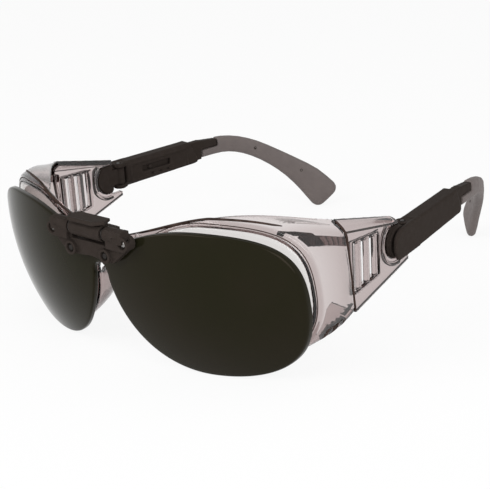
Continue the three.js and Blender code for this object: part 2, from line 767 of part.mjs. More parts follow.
const bracketFront = -(CLEARANCE + BRACKET_THICKNESS);
const washerInner = BARREL_HALF + CLEARANCE;
const knuckleInner = washerInner + WASHER_THICKNESS + CLEARANCE;
const knuckleOuter = knuckleInner + KNUCKLE_LENGTH;
const pinBore = PIN_RADIUS + CLEARANCE;
const capBottom = FLIP_Z + Math.max(BARREL_RADIUS, KNUCKLE_RADIUS) + RUNNING_GAP;
const capTop = capBottom + CAP_THICKNESS;

const screwTip = shellDepth(SADDLE_SCREW_X, SADDLE_SCREW_Z, rimFront + FOOT_SINK) - SCREW_GRIP;

function hingeSaddle() {
  const barrel = rod("x", BARREL_RADIUS, -BARREL_HALF, BARREL_HALF, FLIP_Y, FLIP_Z);
  const cap = prism(
    "z",
    polygon(
      [-CAP_HALF, CAP_FRONT + CAP_CORNER],
      [-CAP_HALF + CAP_CORNER, CAP_FRONT],
      [CAP_HALF - CAP_CORNER, CAP_FRONT],
      [CAP_HALF, CAP_FRONT + CAP_CORNER],
      [CAP_HALF - CAP_CORNER / 2, CAP_BACK],
      [-CAP_HALF + CAP_CORNER / 2, CAP_BACK],
    ),
    capBottom,
    capTop,
  );
  const neckBack = shellDepth(NECK_HALF, FOOT_TOP, rimFront - CLEARANCE);
  const neck = join(
    box(-NECK_HALF, NECK_HALF, FLIP_Y, CAP_BACK, NECK_BOTTOM, capTop),
    box(-NECK_HALF, NECK_HALF, FLIP_Y, neckBack, NECK_BOTTOM, FOOT_TOP),
  );
  const foot = curvedPlate(footOutline(0), rimFront - FOOT_PROUD, rimFront + FOOT_SINK);
  const thread = rod(
    "y",
    SCREW_RADIUS + CLEARANCE,
    screwTip - CLEARANCE,
    screwBack,
    SADDLE_SCREW_X,
    SADDLE_SCREW_Z,
  );
  const whole = join(barrel, neck, cap, foot);
  const bore = rod("x", pinBore, -BARREL_HALF - LAP, BARREL_HALF + LAP, FLIP_Y, FLIP_Z);
  return cut(whole, bore, ...bothSides(thread));
}

function saddleScrew() {
  const [x, z] = [SADDLE_SCREW_X, SADDLE_SCREW_Z];
  const head = rod("y", SCREW_HEAD_RADIUS, screwBack - SCREW_HEAD, screwBack - SCREW_SINK, x, z);
  const shank = rod("y", SCREW_RADIUS, screwTip, screwBack - SCREW_HEAD / 2, x, z);
  const slot = box(
    x - SCREW_HEAD_RADIUS,
    x + SCREW_HEAD_RADIUS,
    screwBack - SCREW_HEAD / 2,
    screwBack + LAP,
    z - SCREW_SLOT / 2,
    z + SCREW_SLOT / 2,
  );
  return cut(join(head, shank), slot);
}

function frictionWasher() {
  const disc = rod("x", WASHER_RADIUS, washerInner, washerInner + WASHER_THICKNESS, FLIP_Y, FLIP_Z);
  return cut(disc, rod("x", pinBore, 0, knuckleOuter, FLIP_Y, FLIP_Z));
}

function flipPin() {
  const end = knuckleOuter + CLEARANCE;
  const shank = rod("x", PIN_RADIUS, -end, end, FLIP_Y, FLIP_Z);
  const head = rod("x", PIN_HEAD_RADIUS, end, end + PIN_HEAD, FLIP_Y, FLIP_Z, PIN_HEAD_RADIUS * HEAD_TAPER);
  return join(shank, ...bothSides(head));
}

// The four boss places, as [node suffix, x, z].
const bosses = [
  ["upper_left", UPPER_BOSS_X, UPPER_BOSS_Z],
  ["lower_left", LOWER_BOSS_X, LOWER_BOSS_Z],
  ["upper_right", -UPPER_BOSS_X, UPPER_BOSS_Z],
  ["lower_right", -LOWER_BOSS_X, LOWER_BOSS_Z],
];
const bossFace = (x, z) => shellDepth(x, z, 0) - BOSS_HEIGHT;

const waist = LOWER_BOSS_Z + BOSS_RADIUS + BRACKET_WAIST;
const armTop = FLIP_Z + ARM_RISE;
const armOuter = UPPER_BOSS_X + ARM_MARGIN;
const armInner = Math.max(CAP_HALF, knuckleInner) + RUNNING_GAP;

// The corners of an arm from its inner upper one round to its outer lower one.
const armCorners = (inner) => [
  [inner, armTop],
  [UPPER_BOSS_X - BOSS_RADIUS / 2, armTop],
  [armOuter, UPPER_BOSS_Z + BOSS_RADIUS / 2],
  [armOuter, UPPER_BOSS_Z - BOSS_RADIUS],
];

function bracketOutline() {
  const half = new THREE.Path();
  half.moveTo(0, waist);
  half.lineTo(knuckleInner, waist);
  for (const corner of armCorners(knuckleInner)) half.lineTo(...corner);
  half.lineTo(LOWER_BOSS_X + BOSS_RADIUS, LOWER_BOSS_Z - BOSS_RADIUS);
  half.lineTo(0, LOWER_BOSS_Z - BOSS_RADIUS + BRACKET_HOLLOW);
  return mirrored(half);
}

function flipBracket() {
  const plate = curvedPlate(bracketOutline(), bracketFront, -CLEARANCE);
  const knuckle = rod("x", KNUCKLE_RADIUS, knuckleInner, knuckleOuter, FLIP_Y, FLIP_Z);
  const posts = bosses.map(([, x, z]) =>
    rod("y", BOSS_RADIUS, bossFace(x, z), shellDepth(x, z, -POST_GAP), x, z),
  );
  const recesses = bosses.map(([, x, z]) =>
    rod("y", RIVET_HEAD_RADIUS + CLEARANCE, bossFace(x, z) - LAP, bossFace(x, z) + BOSS_RECESS, x, z),
  );
  const bores = bosses.map(([, x, z]) => rod("y", RIVET_RADIUS + CLEARANCE, -BEYOND, BEYOND, x, z));
  const armSide = polygon(...armCorners(armInner), [armInner, UPPER_BOSS_Z - BOSS_RADIUS]);
  const arm = prism("y", armSide, ARM_FRONT, FLIP_Y);
  const bumps = Array.from({ length: DETENT_BUMPS }, (_, i) => {
    const x = armInner + DETENT_RADIUS + DETENT_PITCH * i;
    return rod("y", DETENT_RADIUS, ARM_FRONT, FLIP_Y + DETENT_RADIUS, x, armTop);
  });
  const whole = join(plate, ...[knuckle, arm, ...bumps].flatMap(bothSides), ...posts);
  const axle = rod("x", pinBore, -BEYOND, BEYOND, FLIP_Y, FLIP_Z);
  const headRoom = rod(
    "x",
    PIN_HEAD_RADIUS + CLEARANCE,
    knuckleOuter,
    knuckleOuter + PIN_HEAD + 3 * CLEARANCE,
    FLIP_Y,
    FLIP_Z,
  );
  const barrelRoom = box(-knuckleInner, knuckleInner, -BEYOND, BEYOND, waist, BEYOND);
  return cut(whole, axle, ...bothSides(headRoom), barrelRoom, ...recesses, ...bores);
}

function darkVisor() {
  const blank = curvedPlate(visorOutline(), 0, VISOR_THICKNESS);
  return cut(blank, ...bosses.map(([, x, z]) => rod("y", RIVET_RADIUS + CLEARANCE, -BEYOND, BEYOND, x, z)));
}

function visorRivet(x, z) {
  const face = bossFace(x, z) + BOSS_RECESS;
  const back = shellDepth(x, z, VISOR_THICKNESS);
  const washerBack = back + 2 * CLEARANCE + RIVET_WASHER;
  const tailEnd = washerBack + CLEARANCE + RIVET_TAIL;
  const headBack = face - RIVET_SEAT;
  const crown = RIVET_HEAD_RADIUS * HEAD_TAPER;
  const head = rod("y", crown, headBack - RIVET_HEAD, headBack, x, z, RIVET_HEAD_RADIUS);
  const shank = rod("y", RIVET_RADIUS, headBack - RIVET_HEAD / 2, tailEnd, x, z);
  const tail = rod("y", RIVET_HEAD_RADIUS, washerBack + CLEARANCE, tailEnd, x, z);
  return join(head, shank, tail);
}

function rivetWasher(x, z) {
  const front = shellDepth(x, z, VISOR_THICKNESS) + 2 * CLEARANCE;
  const disc = rod("y", RIVET_WASHER_RADIUS, front, front + RIVET_WASHER, x, z);
  return cut(disc, rod("y", RIVET_RADIUS + CLEARANCE, -BEYOND, BEYOND, x, z));
}

// Temples, in the temple's own frame: origin at the tilt pivot, +Y along the sleeve

const sleeveInner = SLEEVE_OUTER - SLEEVE_THICKNESS;
const sleeveHalf = SLEEVE_HEIGHT / 2;
const channelMiddle = (sleeveInner + SLEEVE_OUTER) / 2;
const sliderHalf = SLIDER_THICKNESS / 2;
const sliderTop = SLIDER_RISE + SLIDER_HEIGHT / 2;
const sliderBottom = SLIDER_RISE - SLIDER_HEIGHT / 2;
const tongueBottom = sliderTop - TONGUE_HEIGHT;
const earInner = NECK_HEIGHT / 2 + CLEARANCE;
const foldBore = FOLD_PIN_RADIUS + CLEARANCE;

function hingeBlock() {
  const half = DISC_THICKNESS / 2;
  const disc = join(
    rod("x", DISC_RADIUS, socketMiddle - half, socketMiddle + half, 0, 0),
    rod("x", DISC_RADIUS + DISC_TONGUE, socketMiddle - half / 2, socketMiddle + half / 2, 0, 0),
  ).rotate([0, 0, -THREE.MathUtils.radToDeg(TOE_IN)]);
  const discRear = FOLD_Y - FOLD_KNUCKLE_RADIUS - 4 * RUNNING_GAP;
  const trimmed = cut(disc, box(-BEYOND, BEYOND, discRear, BEYOND, -BEYOND, BEYOND));
  const neck = box(
    FOLD_X - NECK_WIDTH / 2,
    FOLD_X + NECK_WIDTH / 2,
    0,
    FOLD_Y,
    -NECK_HEIGHT / 2,
    NECK_HEIGHT / 2,
  );
  const knuckle = rod("z", FOLD_KNUCKLE_RADIUS, -NECK_HEIGHT / 2, NECK_HEIGHT / 2, FOLD_X, FOLD_Y);
  const bore = rod("z", foldBore, -BEYOND, BEYOND, FOLD_X, FOLD_Y);
  return cut(join(trimmed, neck, knuckle), bore);
}

function foldPin() {
  const end = sleeveHalf - EAR_SETBACK;
  return rod("z", FOLD_PIN_RADIUS, -end, end, FOLD_X, FOLD_Y);
}

// Side outline of the sleeve behind the fold.
function sleeveSide() {
  const low = -sleeveHalf + SLEEVE_LIFT;
  const shoulder = SLEEVE_TOP_END + SLEEVE_SHOULDER;
  const shape = new THREE.Shape();
  shape.moveTo(BODY_FRONT, -sleeveHalf);
  shape.lineTo(SLEEVE_BOTTOM_END - SLEEVE_END_ROUND, low);
  shape.quadraticCurveTo(SLEEVE_BOTTOM_END, low, SLEEVE_BOTTOM_END, low + SLEEVE_END_ROUND);
  shape.lineTo(shoulder, sliderTop + SLEEVE_BEVEL + CLEARANCE);
  shape.quadraticCurveTo(shoulder - SLEEVE_END_ROUND, sleeveHalf, SLEEVE_TOP_END, sleeveHalf);
  shape.lineTo(BODY_FRONT, sleeveHalf);
  return shape;
}

// Outline of the thin cover that hides the hinge from outside.
function coverSide() {
  const shape = new THREE.Shape();
  shape.moveTo(BODY_FRONT + COVER_LAP, -sleeveHalf);
  shape.lineTo(COVER_FRONT + COVER_LOWER_ROUND, -sleeveHalf);
  shape.quadraticCurveTo(COVER_FRONT, -sleeveHalf / 2, COVER_FRONT, 0);
  shape.quadraticCurveTo(COVER_FRONT, sleeveHalf, COVER_FRONT + COVER_UPPER_ROUND, sleeveHalf);
  shape.lineTo(BODY_FRONT + COVER_LAP, sleeveHalf);
  return shape;
}

function templeSleeve() {
  const body = prism("x", sleeveSide(), sleeveInner, SLEEVE_OUTER, SLEEVE_BEVEL);
  const cover = prism("x", coverSide(), SLEEVE_OUTER - COVER_THICKNESS, SLEEVE_OUTER, COVER_BEVEL);
  const earRadius = FOLD_KNUCKLE_RADIUS + RUNNING_GAP;
  const coverInner = SLEEVE_OUTER - COVER_THICKNESS / 2;
  const ears = [1, -1].map((way) => {
    const [low, high] = [way * earInner, way * (sleeveHalf - EAR_SETBACK)].sort((a, b) => a - b);
    return join(
      rod("z", earRadius, low, high, FOLD_X, FOLD_Y),
      box(sleeveInner, coverInner, FOLD_Y, BODY_FRONT + LAP, low, high),
      box(FOLD_X, coverInner, FOLD_Y - FOLD_KNUCKLE_RADIUS, FOLD_Y + LAP, low, high),
    );
  });
  const channel = box(
    channelMiddle - sliderHalf - CLEARANCE,
    channelMiddle + sliderHalf + CLEARANCE,
    SLIDER_FRONT - TRAVEL_IN - LAP,
    SLEEVE_BOTTOM_END + LAP,
    sliderBottom - CLEARANCE,
    sliderTop + CLEARANCE,
  );
  const slotEnd = PEG_RADIUS + CLEARANCE;
  const slot = box(
    sleeveInner - LAP,
    channelMiddle,
    PEG_Y - TRAVEL_IN - slotEnd,
    PEG_Y + TRAVEL_OUT + slotEnd,
    SLIDER_RISE - slotEnd,
    SLIDER_RISE + slotEnd,
  );
  const notches = Array.from({ length: NOTCHES }, (_, i) =>
    rod(
      "x",
      NOTCH_RADIUS,
      sleeveInner - LAP,
      sleeveInner + NOTCH_DEPTH,
      PEG_Y + TRAVEL_OUT - NOTCH_PITCH * i,
      -sleeveHalf + SLEEVE_CHAMFER,
    ),
  );
  const pinHole = rod("z", foldBore, -BEYOND, BEYOND, FOLD_X, FOLD_Y);
  const chamfer = prism(
    "y",
    polygon(
      [sleeveInner - LAP, -sleeveHalf - LAP],
      [sleeveInner + SLEEVE_CHAMFER + LAP, -sleeveHalf - LAP],
      [sleeveInner - LAP, -sleeveHalf + SLEEVE_CHAMFER + LAP],
    ),
    BODY_FRONT,
    SLEEVE_BOTTOM_END + LAP,
  );
  return cut(join(body, cover, ...ears), channel, slot, ...notches, pinHole, chamfer);
}

function templeSlider() {
  const x0 = channelMiddle - sliderHalf;
  const x1 = channelMiddle + sliderHalf;
  const bar = box(x0, x1, SLIDER_FRONT, SLIDER_END, sliderBottom, sliderTop);
  const tongueSide = polygon(
    [SLIDER_END - LAP, tongueBottom],
    [TONGUE_END, tongueBottom],
    [TONGUE_END, sliderTop - TONGUE_DROP],
    [SLIDER_END - LAP, sliderTop],
  );
  const tongue = prism("x", tongueSide, x0, x1);
  const core = box(
    channelMiddle - CORE_THICKNESS / 2,
    channelMiddle + CORE_THICKNESS / 2,
    TONGUE_END - LAP,
    CORE_END,
    tongueBottom,
    tongueBottom + CORE_HEIGHT,
  );
  const peg = rod("x", PEG_RADIUS, sleeveInner + PEG_SETBACK, x0 + LAP, PEG_Y, SLIDER_RISE);
  return join(bar, tongue, core, peg);
}

// Middle line of the tip, as shares: [of its length, of its drop, of its width].
const TIP_STATIONS = [
  [0, 0, 1.06],
  [0.21, 0.014, 1],
  [0.36, 0.07, 0.97],
  [0.51, 0.185, 0.99],
  [0.66, 0.36, 1.06],
  [0.79, 0.55, 1.29],
  [0.91, 0.77, 1.69],
  [1, 1, 1.89],
];
const tipStart = SLIDER_END + 2 * CLEARANCE;

function templeTip() {
  const points = TIP_STATIONS.map(([along, fall]) => {
    const y = tipStart + (TEMPLE_REACH - tipStart) * along;
    const run = Math.max(0, y - TIP_CURL_START) / (TEMPLE_REACH - TIP_CURL_START);
    const z = TIP_HEIGHT - TIP_DROP * fall - PIVOT_Z;
    return new THREE.Vector3(channelMiddle - TIP_CURL * run * run, y, z);
  });
  const middle = new THREE.CatmullRomCurve3(points);
  const widths = new THREE.SplineCurve(
    TIP_STATIONS.map(([, , share], i) => new THREE.Vector2(i, TIP_WIDTH * share)),
  );
  const ring = (centre, tangent, width, thickness) => {
    const across = new THREE.Vector3(tangent.y, -tangent.x, 0).normalize();
    const upward = across.clone().cross(tangent).normalize();
    return Array.from({ length: TIP_SIDES }, (_, i) => {
      const angle = (2 * Math.PI * i) / TIP_SIDES;
      const squarer = (value) => Math.sign(value) * Math.abs(value) ** TIP_SQUARENESS;
      return centre
        .clone()
        .addScaledVector(across, (squarer(Math.cos(angle)) * thickness) / 2)
        .addScaledVector(upward, (squarer(Math.sin(angle)) * width) / 2);
    });
  };
  const rings = Array.from({ length: TIP_SECTIONS + 1 }, (_, i) => {
    const share = i / TIP_SECTIONS;
    return ring(middle.getPoint(share), middle.getTangent(share), widths.getPoint(share).y, TIP_THICKNESS);
  });
  const endTangent = middle.getTangent(1);
  const endWidth = widths.getPoint(1).y;
  for (const turn of TIP_END_TURNS) {
    const angle = (turn * Math.PI) / 2;
    const shrink = 1 - Math.cos(angle);
    const centre = middle.getPoint(1).addScaledVector(endTangent, TIP_END_ROUND * Math.sin(angle));
    const width = endWidth - 2 * TIP_END_ROUND * shrink;
    rings.push(ring(centre, endTangent, width, TIP_THICKNESS * (1 - shrink / 2)));
  }
  const tongueRoom = box(-BEYOND, BEYOND, 0, TONGUE_END + CLEARANCE, tongueBottom - CLEARANCE, BEYOND);
  const coreRoom = box(
    channelMiddle - CORE_THICKNESS / 2 - CLEARANCE,
    channelMiddle + CORE_THICKNESS / 2 + CLEARANCE,
    TONGUE_END - LAP,
    CORE_END + CLEARANCE,
    tongueBottom - CLEARANCE,
    tongueBottom + CORE_HEIGHT + CLEARANCE,
  );
  return cut(loft(rings), tongueRoom, coreRoom);
}

// Materials
const finish = (color, roughness, metalness) =>
  new THREE.MeshStandardMaterial({ color, roughness, metalness });
const smokeClear = finish(0xb8aca8, 0.12, 0);
smokeClear.transparent = true;
smokeClear.opacity = 0.45;
const lensClear = finish(0xe9e4e2, 0.06, 0);
lensClear.transparent = true;
lensClear.opacity = 0.25;
const visorDark = finish(0x23241c, 0.1, 0);
const blackPlastic = finish(0x2a2625, 0.45, 0);
const greyRubber = finish(0x706967, 0.7, 0);
const steel = finish(0xb9b9b6, 0.3, 1);

// Assembly
function piece(name, solid, material) {
  const mesh = new THREE.Mesh(geometryFrom(solid), material);
  mesh.name = name;
  return mesh;
}

const model = new THREE.Group();
model.add(
  piece("front_frame", frontFrame(), smokeClear),
  piece("hinge_saddle", hingeSaddle(), blackPlastic),
  piece("flip_pin", flipPin(), steel),
  piece("flip_bracket", flipBracket(), blackPlastic),
  piece("dark_visor", darkVisor(), visorDark),
);
for (const [suffix, x, z] of bosses) {
  model.add(piece(`visor_rivet_${suffix}`, visorRivet(x, z), steel));
  model.add(piece(`rivet_washer_${suffix}`, rivetWasher(x, z), steel));
}

for (const [side, mirror] of [
  ["left", 1],
  ["right", -1],
]) {
  const half = new THREE.Group();
  half.scale.x = mirror;
  half.add(
    piece(`clear_lens_${side}`, clearLens(), lensClear),
    piece(`side_shield_${side}`, sideShield(), smokeClear),
    piece(`saddle_screw_${side}`, saddleScrew(), steel),
    piece(`friction_washer_${side}`, frictionWasher(), steel),
  );
  const temple = new THREE.Group();
  temple.position.set(JOINT_X, PIVOT_Y, PIVOT_Z);
  temple.rotation.z = TOE_IN;
  temple.add(
    piece(`hinge_block_${side}`, hingeBlock(), blackPlastic),
    piece(`fold_pin_${side}`, foldPin(), steel),
    piece(`temple_sleeve_${side}`, templeSleeve(), blackPlastic),
    piece(`temple_slider_${side}`, templeSlider(), blackPlastic),
    piece(`temple_tip_${side}`, templeTip(), greyRubber),
  );
  half.add(temple);
  model.add(half);
}

// The origin lies on the floor, under the middle of the whole spectacles.
const extent = new THREE.Box3().setFromObject(model, true);
const middle = extent.getCenter(new THREE.Vector3());
model.position.set(-middle.x, -middle.y, -extent.min.z);

const spectacles = new THREE.Group();
spectacles.add(model);
export default spectacles;
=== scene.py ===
"""Flip-up welding spectacles: moulded pieces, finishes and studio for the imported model.

Lengths below are millimetres in the maker's frame, whose origin lies on the middle plane at the
visor's foremost face. place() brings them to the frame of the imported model, in metres.
"""

import json
import math

import bmesh
import bpy
import numpy as np
from mathutils import Matrix, Vector


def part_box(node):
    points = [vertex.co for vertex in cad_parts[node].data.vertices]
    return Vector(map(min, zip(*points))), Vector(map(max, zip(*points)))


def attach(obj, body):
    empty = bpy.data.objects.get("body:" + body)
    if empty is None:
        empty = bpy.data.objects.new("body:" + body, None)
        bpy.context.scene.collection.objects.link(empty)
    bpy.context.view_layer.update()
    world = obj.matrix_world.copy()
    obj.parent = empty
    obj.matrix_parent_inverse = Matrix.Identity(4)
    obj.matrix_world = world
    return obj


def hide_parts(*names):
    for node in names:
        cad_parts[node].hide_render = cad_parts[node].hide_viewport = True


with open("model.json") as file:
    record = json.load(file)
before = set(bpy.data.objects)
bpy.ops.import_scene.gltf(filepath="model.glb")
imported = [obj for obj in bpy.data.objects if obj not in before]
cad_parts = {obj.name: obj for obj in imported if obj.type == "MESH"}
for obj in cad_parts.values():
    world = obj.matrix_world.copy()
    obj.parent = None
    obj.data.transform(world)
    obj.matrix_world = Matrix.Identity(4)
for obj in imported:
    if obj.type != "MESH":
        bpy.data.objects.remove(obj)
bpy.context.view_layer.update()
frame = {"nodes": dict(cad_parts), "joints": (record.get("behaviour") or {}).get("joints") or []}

bl_info = {
    "name": "Flip-up welding spectacles",
    "version": (1, 0, 0),
    "blender": (4, 5, 0),
    "location": "View3D > Sidebar > Spectacles",
    "description": "Dresses the packed spectacles with moulded pieces, finishes and a studio",
    "category": "Object",
}

MM = 0.001
SIDES = {"left": 1, "right": -1}
FLIP_Y = -2.5
FLIP_JOINT = next(joint for joint in frame["joints"] if joint["name"] == "flip_up")
FRAME_Y = FLIP_JOINT["pos_m"][1] / MM - FLIP_Y  # maker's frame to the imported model

# Curved front
FRONT_RADIUS = 91
LOBE_OFFSET = 11.75
CURVE_HEIGHT = 39.4
BRIDGE_BLEND = 3

# Fullness of the rounded quarters: 0.55 is an ellipse, and more is squarer
VISOR_UPPER_FULLNESS = 0.75
VISOR_LOWER_FULLNESS = 0.68
RIM_UPPER_FULLNESS = 0.78
RIM_LOWER_FULLNESS = 0.62
RIM_NOSE_FULLNESS = 0.5
RIM_BROW_FULLNESS = 0.44
NOTCH_FULLNESS = 0.6

# Visor outline
VISOR_TOP = 51.6
VISOR_TOP_X = 38
VISOR_OUTER = 69
VISOR_OUTER_Z = 28.5
VISOR_BOTTOM_X = 37
VISOR_INNER = 3.4
VISOR_INNER_Z = 31
VISOR_NOTCH_TOP = 36.3
VISOR_STRIP_TOP = 43.3
VISOR_STRIP_HALF = 6.5
VISOR_STRIP_LEAVE = (0.15, 0.12)  # handles from the strip to the lobe's top, as shares of the step
VISOR_STRIP_ARRIVE = 0.49
VISOR_NOSE_LEAVE = 0.43  # handles from the lobe's bottom up beside the nose
VISOR_NOSE_ARRIVE = (1.9, 0.55)
VISOR_HEART = (37, 30)  # the point that each lobe's mesh spreads from

# Rims, lenses and nose wings
RIM_FRONT = 4.6  # rims behind the visor's outer face
RIM_DEPTH = 4.2  # rims and the nose wings' roots, front to back
OPENING_TOP = 52.3
OPENING_TOP_X = 38
BROW_WIDTH = 2.1  # rim above the eye openings
BROW_LEAVE = (0.32, 0.08)  # handles of the brow's curve, as shares of its width and rise
BROW_ARRIVE = (0.74, 0.13)
OPENING_OUTER = 67.4
OPENING_OUTER_Z = 30
OPENING_BOTTOM = 4.6
OPENING_INNER = 8.6
OPENING_INNER_Z = 30
BRIDGE_TOP = 44.4
BRIDGE_BOTTOM = 36
BRIDGE_OVERLAP = 1  # each half of the frame past the middle plane
EYE_HEART = (38, 38)
LENS_HEART = (38, 29)
LENS_GAP = 0.15
LENS_EDGE = 0.3
LIP_SLOPE = 0.1  # half the width of the slope up to the lip
WING_ROOT = (0.5, 0.98)  # shares of the rims' edge beside the nose
WING_DEPTH = 9
WING_END = 0.35  # share of that depth at both ends
WING_FLARE = 4.5
WING_HEART = (OPENING_TOP_X, 10, OPENING_INNER_Z)  # a point on the wings' inner side

# Side walls
SHELL_START = 0.23
SHELL_CORNER = 0.42
SHELL_END = 0.9
JOINT_Y = 44
JOINT_MIDDLE = 32.5
JOINT_LEAN = 0.13
JOINT_X = 69.3
JOINT_TOP = 46.4
JOINT_BOTTOM = 17.6
FLANGE_WIDTH = 4.6
FLANGE_RISE = 3.8
LOWER_FLANGE_WIDTH = 9
LOWER_FLANGE_RISE = 1.3
CORNER_ROUND = 2.2
WALL_SWELL = (1.4, 2.3, 1.7)  # outwards, up and down, between the rim and the joint
WALL_TAPER = (0.8, 1.2)  # thickness at the rim and at the joint
WALL_HEART = (20, 30, JOINT_MIDDLE)  # a point on the walls' inner side
ROOF_TAPER = 0.6  # share of that thickness over the brow

# Painted shade of the frame: dark beads along the brow crease, round the lens lips and at the shields'
# joints, for the dark lines that the clear plastic shows there
BROW_SHADE = (0.07, 0.26)  # shares of the rims' outer edge
ROOF_SHADE = (0.004, 0.1)  # shares of the side wall's outline, on over the roof
ROOF_SHADE_LEAN = 1.9  # gain along the wall with that share
BROW_SHADE_RADIUS = 0.5
BROW_SHADE_END = 0.2  # share of that radius at both ends
LIP_SHADE = 0.16
JOINT_SHADE = 0.5
JOINT_SHADE_RUN = (0.03, 0.79)  # shares of the joint's outline
JOINT_SHADE_SUNK = 0.2

# Side shields
SHIELD_LENGTH = 33
SHIELD_END = JOINT_Y + SHIELD_LENGTH
SHIELD_GAP = 0.3
SHIELD_END_TOP = 41.2
SHIELD_END_BOTTOM = 26.2
SHIELD_END_FLANGE = 3.2
SHIELD_WALL = 2
SHIELD_HEART = (55, 60, 30)  # a point on the shield's inner side
SOCKET_INNER = 5.9
SOCKET_OUTER = 8.2
SOCKET_LIP = 0.6  # width of the raised lip round the socket
SOCKET_PROUD = 0.4
SOCKET_ENDS = (math.radians(128), math.radians(284))  # of the C, which is open to the rear
PLATE_ARC = math.radians(120)  # where the plate's arc meets its upper edge
STRIP_TOP = 28  # upper edge of the strip under the sleeve
WINDOW_FRONT = 46
WINDOW_REAR = 59.8
WINDOW_TOP = (41.6, 40.8)  # at the front and at the rear
WINDOW_BOTTOM = (24.2, 26.6)
WINDOW_BEAD = 0.9
BAR_WIDTH = 3
BARS = 3
SLAT_FRONT = -0.7  # flat backs of the outer slats
SLAT_BACK = -1.4  # flat backs of the inner slats
SLAT_PROUD = 1.2
FLANGE_END = 0.83  # share of the shield's length that the flange runs along
LAP = 0.4
BEND_SHADE_LINE = 0.34  # radius of the dark lines of painted shade along the shield's bends
CREASE_DROP = (0.2, 0.7)  # shares of the round corner, at the front and at the rear
CREASE_INSET = 0.7

# Lugs and clear blocks inside the side walls and the notched ledge under them: shares of
# the wall's outline where each one starts and ends, and the run along the wall. The lugs and the ledge are
# drawn opaque dark near the wall's face, as painted shade for the tenons' dark look through the wall
LUGS = (
    ((0.178, 0.252), (0.178, 0.252), (0.22, 0.5)),
    ((0.12, 0.126), (0.155, 0.184), (0.09, 0.47)),
)
LEDGE = (
    ((0.738, 0.81), (0.738, 0.81), (0.28, 0.37)),
    ((0.734, 0.746), (0.734, 0.746), (0.28, 0.68)),
    ((0.742, 0.81), (0.742, 0.81), (0.43, 0.56)),
    ((0.756, 0.81), (0.756, 0.81), (0.66, 0.74)),
    ((0.722, 0.73), (0.712, 0.72), (0.68, 0.97)),
)
BLOCKS = (((0.178, 0.252), (0.178, 0.252), (0.5, 1.03)),)
LUG_DEPTH = 1.3  # of the outer faces, below the wall's outer face
LEDGE_DEPTH = -0.05
LUG_THICKNESS = 1.9
LUG_RIB = 0.6
LUG_RIBS = 9  # over the length of the wall

# Flip hinge
FLIP_Z = 48.5
CAP_HALF = 8.6
CAP_FRONT = -6.2
CAP_CORNER = 3
CAP_TOP = 52.65
CAP_LIP = 0.5
WASHER_RING = 1.45  # middle line of the upper rivets' washers
WASHER_EDGE = 0.28
RIVET_HEAD = ((0, 0.3), (0.1, 0.6), (0.3, 0.85), (0.6, 1), (0.9, 1), (1, 0.55))  # depth, share of radius
RIVET_TAIL = 1.6  # end of the shank inside the visor and its washer
HOOD = (12.2, 14.4)  # hoods over the pin's heads, along X
HOOD_INNER = 1.6
HOOD_OUTER = 2.4
ARM_BLOCK = 4
ARM_RIDGE = 0.5  # along the top of the block
ARM_END = 16.4

# Tilt pivot of the temples
PIVOT = (70, 34.8)  # Y and Z
CHEEK_RADIUS = 5.4
CHEEK_REAR = 3.9
CHEEK_DEPTH = (-1.4, 1.2)
TOE_IN = math.radians(7.7)
PANEL_X = -2.6  # inner face of the sleeve
PANEL_LENGTH = (11, 40)
PANEL_HEIGHT = (-3.4, 3.6)
PANEL_RIB = 0.55

# Pin holes of the ear tips, drawn as black painted shade: place and facing
EYELETS = (((54, 144.8, 30.4), (-0.91, -0.41, 0.06)), ((42.6, 161.7, 17.5), (-0.77, -0.64, 0.04)))
EYELET_RADIUS = 0.5
EYELET_RING = 0.12
EYELET_DEPTH = 0.6

# Fineness of the meshes
CURVE_STEPS = 40
EDGE_STEPS = 6
TUBE_SIDES = 12
TUBE_ASIDE = (0.3, 0.9, 0.2)  # a direction that no bead runs along
END_BLEND = 6  # power with which a sheet turns to its flat end
WELD = 1e-7  # metres between points that are joined
VISOR_STEPS = 181  # along half the outline
VISOR_MIDDLE_STEPS = 10
VISOR_RINGS = 26
LENS_STEPS = 220
LENS_RINGS = 22
RIM_STEPS = 480
RIM_OUTLINE_STEPS = 1600
RIM_FACE_STEPS = 10
WALL_ROWS = 41
ROOF_STEPS = 41
SIDE_STEPS = 121
WING_ROWS = 17
WING_STEPS = 49
LIP_SHADE_STEPS = 260
BROW_SHADE_STEPS = 60
JOINT_SHADE_STEPS = 160
FLANGE_ROWS = 31
FLANGE_STEPS = 41
SOCKET_STEPS = 81
SOCKET_LINE_STEPS = 41
PLATE_ARC_STEPS = 40
SLAT_STEPS = 15
RIB_STEPS = 12
LUG_ROWS = 81
LUG_STEPS = 15
HOOD_STEPS = 13
WASHER_STEPS = 40
CHEEK_STEPS = 64
EYELET_STEPS = 24

# Smoothing of the moulded skins: its strength and its passes
SMOOTHING = 0.5
LUG_PASSES = 2
SKIN_PASSES = 3
SMALL_PASSES = 4
TIP_PASSES = 10

# Finishes
PLASTIC_IOR = 1.49
LENS_IOR = 1.45
WALL_TINT = 1.7  # depth of tint against the thick smoky plastic
TENON_TINT = 2.6
PATTERN_SPAN = (0.3, 0.7)  # where most of a cloudy pattern lies
STEEL_SHADE = 0.75  # darker patches, as a share of the steel's colour
DARK_STEEL_SHADE = 0.7

# Studio
SKY_FRONT = (0.62, -0.7, 0.345)  # where the light from all around is strongest
SKY_FADE = (-0.72, -0.05)  # from the dim rear to the front
SKY_REAR = 0.05
KEY_PLACE = (-0.3, -0.8, 0.5)  # metres, as the rest of the lamps and the floor
KEY_SIZE = 0.7
FILL_PLACE = (0.75, -0.35, 0.35)
FILL_SIZE = 0.6
LAMP_AIM = (0, 0, 0.03)
FLOOR_HALF = 3.0
CLIP_START = 0.01
CAMERA_PLACE = (294.2, -261.1, 182.8)
CAMERA_RIGHT = (0.7631, 0.6436, -0.0588)
CAMERA_UP = (-0.1806, 0.2998, 0.9368)
CAMERA_BACK = (0.6205, -0.7042, 0.345)
CAMERA_FOCUS = 1280.48 / 490  # focal length over the picture's width
SENSOR_WIDTH = 36


